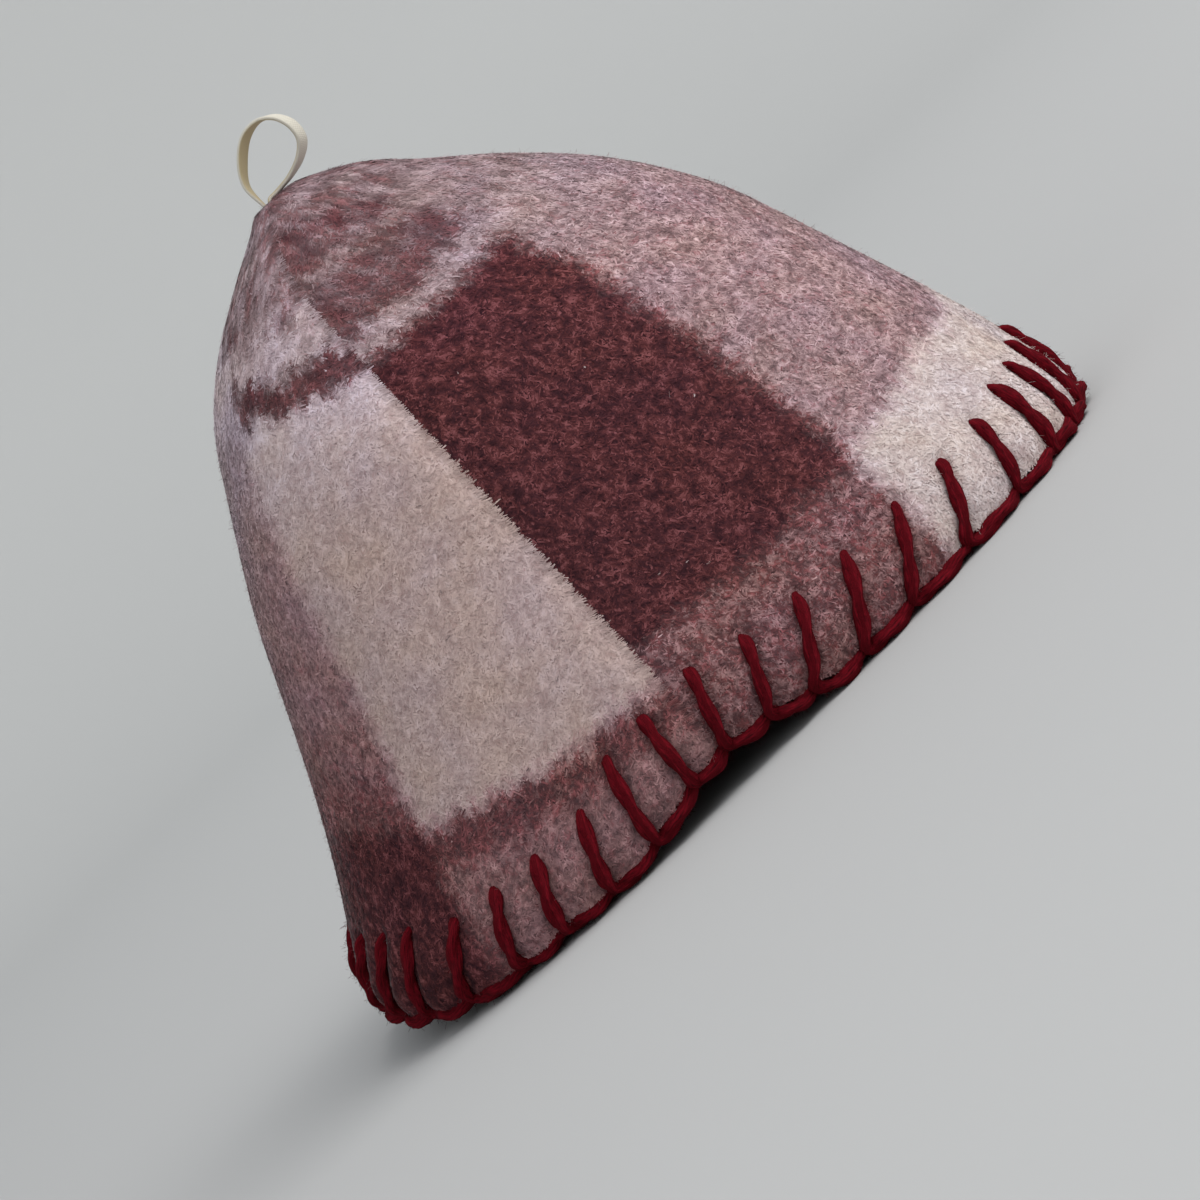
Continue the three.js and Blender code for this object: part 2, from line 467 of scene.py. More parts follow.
# ---- The sewn cloth ------------------------------------------------------------------------------


@dataclass(frozen=True)
class Ripple:
    """A wave over the sewn cloth, in radians for each gore round and for the whole way up."""

    around: float
    upward: float
    phase: float = 0.0
    height: float = 1.0

    def at(self, share: np.ndarray, turn: np.ndarray) -> np.ndarray:
        """The wave's height at places on the cloth."""
        return self.height * np.sin(self.around * turn + self.upward * share + self.phase)


@dataclass
class Cloth:
    """The outer face of the four gores sewn together, as a table to read any place from.

    A place is a share of the way up and a turn: the gore's number and the share of the way across
    it, going round by the angle.
    """

    bell: Bell
    chart: StitchChart
    rows: int = 168
    columns: int = 100
    groove: float = 1.5
    groove_reach: float = 3.0
    puff: float = 1.3
    puff_reach: float = 7.0
    puff_height: float = 24.0
    wave: float = 0.35
    waves: tuple[Ripple, ...] = (
        Ripple(1.5 * math.pi, 9, 0.7),
        Ripple(2.5 * math.pi, -13, 2.1),
        Ripple(4.5 * math.pi, 21, 0.0, 0.6),
    )
    widths: np.ndarray = field(init=False)
    surface: np.ndarray = field(init=False)
    outward: np.ndarray = field(init=False)

    def __post_init__(self) -> None:
        """Lays the table out, evenly spaced across each gore, and presses the relief into it."""
        share = np.linspace(0, 1, self.rows + 1)
        samples = 6 * self.columns
        self.widths = np.empty((self.rows + 1, 4))
        self.surface = np.empty((self.rows + 1, 4 * self.columns + 1, 3))
        for quarter in Quarter:
            turn = (quarter.value + np.linspace(0, 1, samples + 1)) * math.pi / 2
            dense = self.bell.point(*np.broadcast_arrays(share[:, None], turn[None, :]))
            steps = np.linalg.norm(np.diff(dense, axis=1), axis=2)
            arcs = np.concatenate([np.zeros((len(share), 1)), np.cumsum(steps, axis=1)], axis=1)
            self.widths[:, quarter.value] = arcs[:, -1]
            first = quarter.value * self.columns
            for i in range(self.rows + 1):
                even = np.linspace(0, arcs[i, -1], self.columns + 1)
                for k in range(3):
                    self.surface[i, first : first + self.columns + 1, k] = np.interp(
                        even, arcs[i], dense[i, :, k]
                    )
        self.outward = self.normals()
        turn = np.arange(4 * self.columns + 1) / self.columns
        relief = self.relief(*np.broadcast_arrays(share[:, None], turn[None, :]))
        self.surface += relief[..., None] * self.outward
        self.outward = self.normals()

    @property
    def climb(self) -> float:
        """How far the crown lies up the cloth, in millimetres."""
        return float(self.bell.climbs[-1])

    def normals(self) -> np.ndarray:
        """The outward directions at the table's places."""
        ring = self.surface[:, :-1]
        round_ = np.roll(ring, -1, axis=1) - np.roll(ring, 1, axis=1)
        up = np.gradient(ring, axis=0)
        out = unit(np.cross(round_, up))
        return np.concatenate([out, out[:, :1]], axis=1)

    def width(self, share: np.ndarray, turn: np.ndarray) -> np.ndarray:
        """The width of the gore that a place is on, in millimetres."""
        row = np.clip(share, 0, 1) * self.rows
        i = np.minimum(row.astype(int), self.rows - 1)
        gore = np.floor(turn).astype(int) % 4
        return self.widths[i, gore] * (1 - (row - i)) + self.widths[i + 1, gore] * (row - i)

    def legs(self) -> list[Leg]:
        """The stitches' legs, going round."""
        made = []
        for quarter in Quarter:
            middle = quarter.value + 0.5
            for leg in self.chart.legs(quarter):
                low, high = self.width(np.array([0.0, leg.height / self.climb]), np.full(2, middle))
                made.append(replace(leg, base=middle + leg.base / low, top=middle + leg.top / high))
        return made

    def relief(self, share: np.ndarray, turn: np.ndarray) -> np.ndarray:
        """How far the stitches and the wearing press the cloth out or in, in millimetres."""
        up = share * self.climb
        width = self.width(share, turn)
        nearest = np.full(share.shape, np.inf)
        for leg in self.legs():
            line = leg.base + (leg.top - leg.base) * np.minimum(up / leg.height, 1)
            apart = (turn - line + 2) % 4 - 2
            beyond = np.maximum(0, up - leg.height)
            nearest = np.minimum(nearest, np.hypot(apart * width, beyond))
        grooves = -self.groove * np.exp(-((nearest / self.groove_reach) ** 2))
        between = 1 - np.exp(-((nearest / self.puff_reach) ** 2))
        puffs = self.puff * between * np.exp(-((up / self.puff_height) ** 2))
        waves = self.wave * sum(wave.at(share, turn) for wave in self.waves)
        return grooves + puffs + waves * np.sin(math.pi * share)

    def spot(self, share: np.ndarray, turn: np.ndarray) -> tuple[np.ndarray, np.ndarray]:
        """Reads places off the cloth's outer face.

        Args:
            share: the share of the way up; below 0 the cloth is thought to go straight on.
            turn: the gore's number and the share of the way across it.

        Returns:
            The points in millimetres, and the outward directions.
        """
        row = np.clip(share, 0, 1) * self.rows
        i = np.minimum(row.astype(int), self.rows - 1)
        a = (row - i)[..., None]
        column = (turn % 4) * self.columns
        j = np.minimum(column.astype(int), 4 * self.columns - 1)
        b = (column - j)[..., None]

        def mixed(table: np.ndarray) -> np.ndarray:
            low = table[i, j] * (1 - b) + table[i, j + 1] * b
            high = table[i + 1, j] * (1 - b) + table[i + 1, j + 1] * b
            return low * (1 - a) + high * a

        points, out = mixed(self.surface), unit(mixed(self.outward))
        below = np.minimum(share, 0)[..., None] * self.climb
        edge_up = unit(self.surface[1, j] - self.surface[0, j])
        return points + edge_up * below, out


# ---- Finishes ------------------------------------------------------------------------------------


Socket = bpy.types.NodeSocket
Stops = tuple[tuple[float, Colour], ...]


@dataclass(frozen=True)
class Wander:
    """A random drift over the flat gore: its cells' sizes in millimetres, and its reach in all."""

    across: float
    up: float
    reach: float


class Wiring:
    """A material under construction, with short ways to add nodes to it."""

    def __init__(self, name: str) -> None:
        """Starts a material with only its shader.

        Args:
            name: the material's name.
        """
        self.material = bpy.data.materials.new(name)
        self.material.use_nodes = True
        self.tree = self.material.node_tree
        self.tree.nodes.clear()
        output = self.tree.nodes.new("ShaderNodeOutputMaterial")
        self.shader = self.tree.nodes.new("ShaderNodeBsdfPrincipled")
        self.tree.links.new(self.shader.outputs[0], output.inputs["Surface"])

    def put(self, place: Socket, value: object) -> None:
        """Sets an input to a value, or joins it to another node's output."""
        if isinstance(value, bpy.types.NodeSocket):
            self.tree.links.new(value, place)
        elif value is not None:
            place.default_value = value

    def node(self, kind: str, inputs: dict | None = None, **settings: object) -> bpy.types.Node:
        """Adds a node.

        Args:
            kind: the node's type, without its ShaderNode.
            inputs: values or sockets by input name or number.
            settings: the node's own settings.

        Returns:
            The node.
        """
        made = self.tree.nodes.new(f"ShaderNode{kind}")
        for name, value in settings.items():
            setattr(made, name, value)
        for name, value in (inputs or {}).items():
            self.put(made.inputs[name], value)
        return made

    def surface(self, inputs: dict[str, object]) -> None:
        """Sets the shader's inputs by name."""
        for name, value in inputs.items():
            self.put(self.shader.inputs[name], value)

    def emboss(self, height: Socket, strength: float, distance: float) -> None:
        """Shades the surface by a relief whose heights go from 0 to a distance in millimetres."""
        inputs = {"Strength": strength, "Distance": distance * MM, "Height": height}
        self.surface({"Normal": self.node("Bump", inputs).outputs[0]})

    def math(self, operation: str, a: object, b: object = None, c: object = None) -> Socket:
        """Adds a Math node and gives its result."""
        return self.node("Math", {0: a, 1: b, 2: c}, operation=operation).outputs[0]

    def uv(self, name: str) -> Socket:
        """The place on one of the piece's maps."""
        return self.node("UVMap", uv_map=name).outputs[0]

    def parts(self, vector: Socket) -> list[Socket]:
        """The first two numbers of a vector."""
        return list(self.node("SeparateXYZ", {0: vector}).outputs[:2])

    def spread(
        self, value: Socket, start: float, end: float, low: object = 0.0, high: object = 1.0
    ) -> Socket:
        """Turns a range of a value into another range, and keeps to its ends beyond them.

        Args:
            value: the value.
            start: where the range begins.
            end: where it ends.
            low: what the beginning becomes.
            high: what the end becomes.

        Returns:
            The new value.
        """
        ends = {"From Min": start, "From Max": end, "To Min": low, "To Max": high}
        return self.node("MapRange", {"Value": value, **ends}).outputs[0]

    def blend(self, share: object, a: object, b: object, blend: str = "MIX") -> Socket:
        """Adds a colour Mix node and gives its result."""
        made = self.node("Mix", data_type="RGBA", blend_type=blend)
        self.put(made.inputs["Factor"], share)
        for name, value in (("A", a), ("B", b)):
            spot = next(s for s in made.inputs if s.name == name and s.type == "RGBA")
            self.put(spot, (*value, 1) if isinstance(value, tuple) else value)
        return next(s for s in made.outputs if s.type == "RGBA")

    def ramp(self, share: Socket, stops: Stops) -> Socket:
        """Adds a Color Ramp node over stops in growing order, and gives its colour."""
        made = self.node("ValToRGB", {0: share})
        elements = made.color_ramp.elements
        while len(elements) < len(stops):
            elements.new(0.5)
        for element, (at, colour) in zip(elements, stops):
            element.position = at
            element.color = (*colour, 1)
        return made.outputs["Color"]

    def cells(self, place: Socket, across: float, up: float) -> Socket:
        """Coordinates in which a cell of the given sizes in millimetres is 1 on each side."""
        return self.scaled(place, (1 / (across * MM), 1 / (up * MM), 1.0))

    def scaled(self, place: Socket, scale: Colour) -> Socket:
        """Multiplies coordinates, each by its own number."""
        return self.node("Mapping", {"Vector": place, "Scale": scale}).outputs[0]

    def noise(self, place: Socket, detail: float = 2, roughness: float = 0.5) -> bpy.types.Node:
        """Adds a Noise Texture node over coordinates that already have their scale."""
        return self.node(
            "TexNoise", {"Vector": place, "Scale": 1.0, "Detail": detail, "Roughness": roughness}
        )

    def wander(self, place: Socket, drift: Wander) -> Socket:
        """A number that wanders about 0, by up to about half the drift's reach each way."""
        noise = self.noise(self.cells(place, drift.across, drift.up)).outputs["Fac"]
        return self.math("MULTIPLY", self.math("SUBTRACT", noise, 0.5), drift.reach)


@dataclass(frozen=True)
class Weft:
    """A stripe of crossways threads, which ends where the next one starts.

    Start is in millimetres up from the edge. The other two are how much of the cloth is pale where
    the stripe crosses the dark warp and where it crosses the pale one.
    """

    start: float
    over_dark: float
    over_pale: float


@dataclass(frozen=True)
class CutPlan:
    """How the plaid lies on one cut of the gore.

    Warp is where the dark warp gives way to the pale one, in millimetres from the gore's middle
    towards the forehead. The leans are slopes of the warp, of the wefts and of the wefts high up.
    The tints multiply the pale threads: painted shade low down and painted top light high up.
    """

    warp: float
    wefts: tuple[Weft, ...]
    warp_lean: float
    weft_lean: float
    high_lean: float
    low_shade_tint: Colour
    high_light_tint: Colour


class Cut(Enum):
    """The two ways in which the gores are cut from the plaid."""

    DARK_BLOCK = CutPlan(
        warp=-16,
        wefts=(
            Weft(0, 0.30, 1.0),
            Weft(45, 0.0, 0.48),
            Weft(171.5, 0.56, 0.50),
            Weft(182, 0.19, 0.42),
            Weft(205, 0.34, 0.40),
            Weft(215, 0.18, 0.36),
            Weft(240, 0.34, 0.34),
        ),
        warp_lean=0.07,
        weft_lean=0.1,
        high_lean=0.1,
        low_shade_tint=(0.97, 0.93, 0.94),
        high_light_tint=(0.96, 0.92, 0.98),
    )
    PALE_BLOCK = CutPlan(
        warp=0,
        wefts=(
            Weft(0, 0.0, 0.43),
            Weft(38, 0.0, 0.17),
            Weft(50, 0.30, 1.0),
            Weft(66, 0.42, 1.0),
            Weft(84, 0.50, 1.0),
            Weft(108, 0.56, 1.0),
            Weft(183, 0.76, 0.13),
            Weft(197.5, 0.78, 0.64),
            Weft(211, 0.34, 0.36),
        ),
        warp_lean=-0.02,
        weft_lean=-0.25,
        high_lean=-0.36,
        low_shade_tint=(0.70, 0.56, 0.55),
        high_light_tint=(0.97, 0.99, 1.08),
    )


CUT_OF = {
    Quarter.FRONT_LEFT: Cut.PALE_BLOCK,
    Quarter.BACK_LEFT: Cut.DARK_BLOCK,
    Quarter.BACK_RIGHT: Cut.PALE_BLOCK,
    Quarter.FRONT_RIGHT: Cut.DARK_BLOCK,
}


@dataclass(frozen=True)
class BlanketPlaid:
    """Milled woollen blanket cloth in two tones of thread, brushed down the gore.

    Feather is how far the stripes run into each other, and the rises are stretches up the gore, in
    millimetres. Softness is for the step from dark to pale threads, and evenness is how much of
    the threads' mixture is blended into one colour. The wefts' lean ends at straight_from, in
    millimetres from the gore's middle towards the forehead.
    """

    feather: float = 8.0
    span: float = 280.0
    straight_from: float = -30.0
    lean_rise: tuple[float, float] = (110.0, 170.0)
    # where the painted shade low down gives way to painted top light, in millimetres up the gore
    tint_rise: tuple[float, float] = (135.0, 185.0)
    even_rise: tuple[float, float] = (155.0, 200.0)
    smear_rise: tuple[float, float] = (160.0, 225.0)
    drift: Wander = Wander(28, 34, 10)
    ragged: Wander = Wander(3, 7, 13)
    sideways: Wander = Wander(5, 5, 9)
    smear: Wander = Wander(4.5, 24, 52)
    blotches: Wander = Wander(6, 11, 0.8)
    warmth: Wander = Wander(26, 22, 1)
    softness: float = 0.6
    evenness: float = 0.25
    crown_evenness: float = 0.44
    dark_threads: Stops = (
        (0.0, (0.010, 0.006, 0.011)),
        (0.35, (0.052, 0.0175, 0.0225)),
        (0.7, (0.120, 0.0345, 0.0365)),
        (1.0, (0.285, 0.100, 0.106)),
    )
    pale_threads: Stops = (
        (0.0, (0.42, 0.30, 0.28)),
        (0.3, (0.56, 0.47, 0.45)),
        (0.65, (0.69, 0.60, 0.56)),
        (1.0, (0.84, 0.78, 0.77)),
    )
    mixture_tints: Stops = (
        (0.0, (1.0, 1.0, 1.0)),
        (0.3, (1.13, 0.85, 0.89)),
        (0.55, (1.04, 0.93, 1.00)),
        (1.0, (1.0, 1.0, 1.0)),
    )
    warmth_tints: Stops = ((0.3, (0.97, 0.98, 1.05)), (0.7, (1.02, 1.0, 0.95)))
    # painted top light that takes over the mixture's tint near the crown
    crown_light_tint: Colour = (1.02, 0.96, 1.02)
    fleck_cell: tuple[float, float] = (1.6, 2.4)
    fleck_range: tuple[float, float] = (0.3, 0.7)
    fuzz_cell: tuple[float, float] = (0.9, 1.9)

    def crossings(self, wiring: Wiring, plan: CutPlan, level: Socket) -> list[Socket]:
        """How pale the weft at a level in millimetres is over the dark warp and over the pale one."""
        half = self.feather / 2
        stops = []
        for below, above in zip(plan.wefts, plan.wefts[1:]):
            for stripe, edge in ((below, above.start - half), (above, above.start + half)):
                stops.append((edge / self.span, (stripe.over_dark, stripe.over_pale, 0.0)))
        shares = wiring.ramp(wiring.math("DIVIDE", level, self.span), tuple(stops))
        return list(wiring.node("SeparateColor", {0: shares}).outputs[:2])

    def pale_share(
        self, wiring: Wiring, plan: CutPlan, place: Socket, across: Socket, up: Socket
    ) -> Socket:
        """How much of the cloth is pale at a place.

        Args:
            wiring: the material.
            plan: how the plaid lies on the gore.
            place: the place on the flat gore, in metres.
            across: how far it is from the middle towards the forehead, in millimetres.
            up: how far it is up from the edge, in millimetres.

        Returns:
            The share, from 0 to 1.
        """
        drift, ragged, sideways, smear, blotches = (
            wiring.wander(place, wander)
            for wander in (self.drift, self.ragged, self.sideways, self.smear, self.blotches)
        )
        near_crown = wiring.spread(up, *self.smear_rise)
        lined = wiring.math("MULTIPLY_ADD", up, -plan.warp_lean, across)
        lined = wiring.math("ADD", lined, wiring.math("ADD", drift, sideways))
        half = self.feather / 2
        warp = wiring.spread(lined, plan.warp - half, plan.warp + half)
        ahead = wiring.math("MAXIMUM", across, self.straight_from)
        lean = wiring.spread(up, *self.lean_rise, -plan.weft_lean, -plan.high_lean)
        shift = wiring.math("MULTIPLY_ADD", smear, near_crown, wiring.math("ADD", drift, ragged))
        level = wiring.math("ADD", wiring.math("MULTIPLY_ADD", ahead, lean, up), shift)
        crossed = wiring.spread(warp, 0.0, 1.0, *self.crossings(wiring, plan, level))
        return wiring.math("MULTIPLY_ADD", blotches, near_crown, crossed)

    def colour(self, wiring: Wiring, cut: Cut, place: Socket, shares: list[Socket]) -> Socket:
        """The cloth's colour.

        Args:
            wiring: the material.
            cut: how the gore is cut.
            place: the place on the flat gore, in metres.
            shares: two random shares: which threads show, and which colour of theirs.

        Returns:
            The colour.
        """
        plan = cut.value
        which, tone = shares
        flat = wiring.node("VectorMath", {0: place, 3: 1 / MM}, operation="SCALE").outputs[0]
        across, up = wiring.parts(flat)
        pale = self.pale_share(wiring, plan, place, across, up)
        soft = self.softness
        edge = wiring.math("MULTIPLY_ADD", pale, 1 + 2 * soft, -soft)
        is_pale = wiring.spread(wiring.math("SUBTRACT", edge, which), -soft, soft)
        high = wiring.spread(up, *self.tint_rise)
        # painted shade on the pale threads low down, giving way to painted top light high up
        painted_light_tint = wiring.blend(high, plan.low_shade_tint, plan.high_light_tint)
        light = wiring.blend(1.0, wiring.ramp(tone, self.pale_threads), painted_light_tint, "MULTIPLY")
        threads = wiring.blend(is_pale, wiring.ramp(tone, self.dark_threads), light)
        even = wiring.blend(pale, self.dark_threads[2][1], self.pale_threads[2][1])
        evenness = wiring.spread(up, *self.even_rise, self.evenness, self.crown_evenness)
        mixed = wiring.blend(evenness, threads, even)
        # near the crown the mixture's tint gives way to painted top light
        tint = wiring.blend(high, wiring.ramp(pale, self.mixture_tints), self.crown_light_tint)
        warmth = wiring.math("ADD", wiring.wander(place, self.warmth), 0.5)
        tinted = wiring.blend(1.0, mixed, tint, "MULTIPLY")
        return wiring.blend(1.0, tinted, wiring.ramp(warmth, self.warmth_tints), "MULTIPLY")

    def wool(self, wiring: Wiring, colour: Socket) -> bpy.types.Material:
        """Gives the material its colour and the wool's own sheen and roughness."""
        wiring.surface(
            {
                "Base Color": colour,
                "Roughness": 0.95,
                "Specular IOR Level": 0.08,
                "Sheen Weight": 0.22,
                "Sheen Roughness": 0.25,
            }
        )
        return wiring.material

    def backing(self, cut: Cut) -> bpy.types.Material:
        """The cloth itself, seen between the fibres and on its inner side."""
        wiring = Wiring(f"plaid_cloth_{cut.name.lower()}")
        place = wiring.uv(CLOTH_MAP)
        flecks = wiring.noise(wiring.cells(place, *self.fleck_cell), 1).outputs["Color"]
        shares = [wiring.spread(part, *self.fleck_range) for part in wiring.parts(flecks)]
        fuzz = wiring.noise(wiring.cells(place, *self.fuzz_cell), 3, 0.6).outputs["Fac"]
        wiring.emboss(fuzz, strength=0.4, distance=0.4)
        return self.wool(wiring, self.colour(wiring, cut, place, shares))

    def fibres(self, cut: Cut) -> bpy.types.Material:
        """The brushed fibres, whose two random shares come from their own map."""
        wiring = Wiring(f"plaid_pile_{cut.name.lower()}")
        shares = wiring.parts(wiring.uv(THREAD_MAP))
        return self.wool(wiring, self.colour(wiring, cut, wiring.uv(CLOTH_MAP), shares))


@dataclass(frozen=True)
class CrimsonYarn:
    """Plied woollen yarn, dark crimson.

    Streaks is how many streaks there are in a metre along the strand and once round it.
    """

    deep: Colour = (0.026, 0.0012, 0.0026)
    bright: Colour = (0.165, 0.0040, 0.0105)
    streaks: Colour = (350.0, 26.0, 1.0)

    def material(self) -> bpy.types.Material:
        """The yarn's material, with fibres that follow the strand."""
        wiring = Wiring("crimson_yarn")
        place = wiring.scaled(wiring.uv(STRAND_MAP), self.streaks)
        lines = wiring.noise(place, 4, 0.6).outputs["Fac"]
        colour = wiring.ramp(lines, ((0.3, self.deep), (0.7, self.bright)))
        wiring.surface({"Base Color": colour, "Roughness": 0.9, "Specular IOR Level": 0.06})
        wiring.emboss(lines, strength=0.6, distance=0.4)
        return wiring.material


@dataclass(frozen=True)
class IvoryTape:
    """Flat woven cotton tape, ivory, with painted shade that makes the side facing into the loop
    darker and yellower.

    Rib is in millimetres. Ends is how many threads lie side by side round the tape.
    """

    pale: Colour = (0.70, 0.67, 0.58)
    shaded: Colour = (0.50, 0.46, 0.38)
    # painted shade that darkens and yellows the tape's face turned into the loop
    painted_inner_shade: Colour = (0.82, 0.72, 0.50)
    rib: float = 0.7
    ends: int = 18

    def material(self) -> bpy.types.Material:
        """The tape's material, a fine weave along and across it."""
        wiring = Wiring("ivory_tape")
        along, around = wiring.parts(wiring.uv(STRAND_MAP))
        full = 2 * math.pi
        ribs = wiring.math("SINE", wiring.math("MULTIPLY", along, full / (self.rib * MM)))
        ends = wiring.math("SINE", wiring.math("MULTIPLY", around, full * self.ends))
        weave = wiring.math("MULTIPLY_ADD", wiring.math("MULTIPLY", ribs, ends), 0.5, 0.5)
        plain = (1.0, 1.0, 1.0)
        # painted shade: from 0.58 to 0.92 of the way round, the face turned into the loop is
        # multiplied darker and yellower
        sides = ((0.5, plain), (0.58, self.painted_inner_shade), (0.92, self.painted_inner_shade), (1.0, plain))
        woven = wiring.blend(weave, self.shaded, self.pale)
        colour = wiring.blend(1.0, woven, wiring.ramp(around, sides), "MULTIPLY")
        wiring.surface({"Base Color": colour, "Roughness": 0.8})
        wiring.surface({"Specular IOR Level": 0.3, "Sheen Weight": 0.15})
        wiring.emboss(weave, strength=0.5, distance=0.2)
        return wiring.material


@dataclass(frozen=True)
class PaleSweep:
    """The studio's plain pale floor, a little paler further out, where less light falls."""

    near: Colour = (0.465, 0.468, 0.465)
    far: Colour = (0.60, 0.605, 0.595)
    reach: tuple[float, float] = (0.3, 2.6)

    def material(self) -> bpy.types.Material:
        """The floor's material."""
        wiring = Wiring("pale_sweep")
        place = wiring.node("TexCoord").outputs["Object"]
        away = wiring.node("VectorMath", {0: place}, operation="LENGTH").outputs["Value"]
        colour = wiring.blend(wiring.spread(away, *self.reach), self.near, self.far)
        wiring.surface({"Base Color": colour, "Roughness": 0.9, "Specular IOR Level": 0.1})
        return wiring.material


# ---- Gores ---------------------------------------------------------------------------------------


@dataclass(frozen=True)
class Lumps:
    """A soft random relief over a flat gore, in millimetres."""

    size: float
    height: float
    seed: int

    def at(self, places: np.ndarray) -> np.ndarray:
        """How high the relief is at each place.

        Args:
            places: the places on the flat gore, with across and up as the last axis.

        Returns:
            The heights, from 0 to the relief's own height.
        """
        lattice = np.random.default_rng(self.seed).random((LATTICE + 1, LATTICE + 1))
        spot = places / self.size + LATTICE / 2
        cell = np.floor(spot).astype(int) % LATTICE
        part = spot - np.floor(spot)
        soft = part * part * (3 - 2 * part)
        x, y = soft[..., 0], soft[..., 1]
        i, j = cell[..., 0], cell[..., 1]
        low = lattice[i, j] * (1 - x) + lattice[i + 1, j] * x
        high = lattice[i, j + 1] * (1 - x) + lattice[i + 1, j + 1] * x
        return self.height * (low * (1 - y) + high * y)


@dataclass
class Fibres:
    """Many fibres: where each starts, which way it lies from straight down, and its sizes."""

    share: np.ndarray
    turn: np.ndarray
    angle: np.ndarray
    length: np.ndarray
    lift: np.ndarray
    width: np.ndarray

    @classmethod
    def together(cls, parts: list[Fibres]) -> Fibres:
        """Puts several lots of fibres together."""
        return cls(*(np.concatenate(same) for same in zip(*(vars(p).values() for p in parts))))


@dataclass(frozen=True)
class Nap:
    """How the brushed fibres lie, in millimetres and degrees, and how many stray from the rest.

    Spread is how far their directions differ, low down, in the middle and at the crown. Long_rise
    is the share of the way up over which they grow longer. Unevenness is for their lengths, and
    breadth is a share of their width.
    """

    count: int = 84000
    length: float = 1.4
    width: float = 0.56
    spread: tuple[float, float, float] = (80.0, 60.0, 18.0)
    spread_at: tuple[float, float, float] = (0.1, 0.6, 0.9)
    swirls: tuple[Ripple, ...] = (Ripple(5, 9, 0.0, 12), Ripple(-17, 31, 0.0, 9))
    long_rise: tuple[float, float] = (0.6, 0.9)
    crown_length: float = 1.7
    unevenness: float = 0.3
    breadth: Chance = Chance(0.7, 0.6)
    lift: Chance = Chance(0.05, 0.2)
    stray_share: float = 0.06
    stray_length: float = 1.4
    stray_width: float = 0.15
    stray_lift: Chance = Chance(0.6, 1.2)


@dataclass(frozen=True)
class SeamTufts:
    """The tufts that the sewing thread pulls over a seam, in millimetres and radians.

    First is how far up they begin, and last is the share of the way up where they end. Inset is
    how far from the seam their fibres start at most, and reach how far over it they go. Uneven and
    scatter are how far the tufts, and the fibres of one, stray up and down the seam. Breadth is a
    share of the width of the nap's fibres.
    """

    first: float = 10.0
    last: float = 0.93
    step: float = 2.6
    fibres: int = 34
    uneven: float = 0.5
    scatter: float = 0.8
    inset: float = 2.6
    reach: float = 1.3
    droop: float = 0.35
    spread: float = 0.25
    lift: Chance = Chance(0.3, 0.4)
    breadth: Chance = Chance(0.25, 0.3)


@dataclass(frozen=True)
class Melange:
    """How the colours of the wool mix: small flecks, clouds, and streaks towards the crown.

    Of the fibres, a few are always pale and a few always dark.
    """

    fleck: Lumps = Lumps(0.95, 1.0, 11)
    cloud: Lumps = Lumps(2.8, 0.4, 21)
    streak: Lumps = Lumps(1.0, 1.0, 31)
    streak_cell: tuple[float, float] = (1.1, 6.5)
    streak_rise: tuple[float, float] = (0.6, 0.85)
    streak_share: tuple[float, float] = (0.25, 1.0)
    fleck_weight: float = 1.3
    own: float = 0.35
    pale_odds: float = 0.0004
    dark_odds: float = 0.008
    always_pale: float = -1.0
    always_dark: float = 1.85


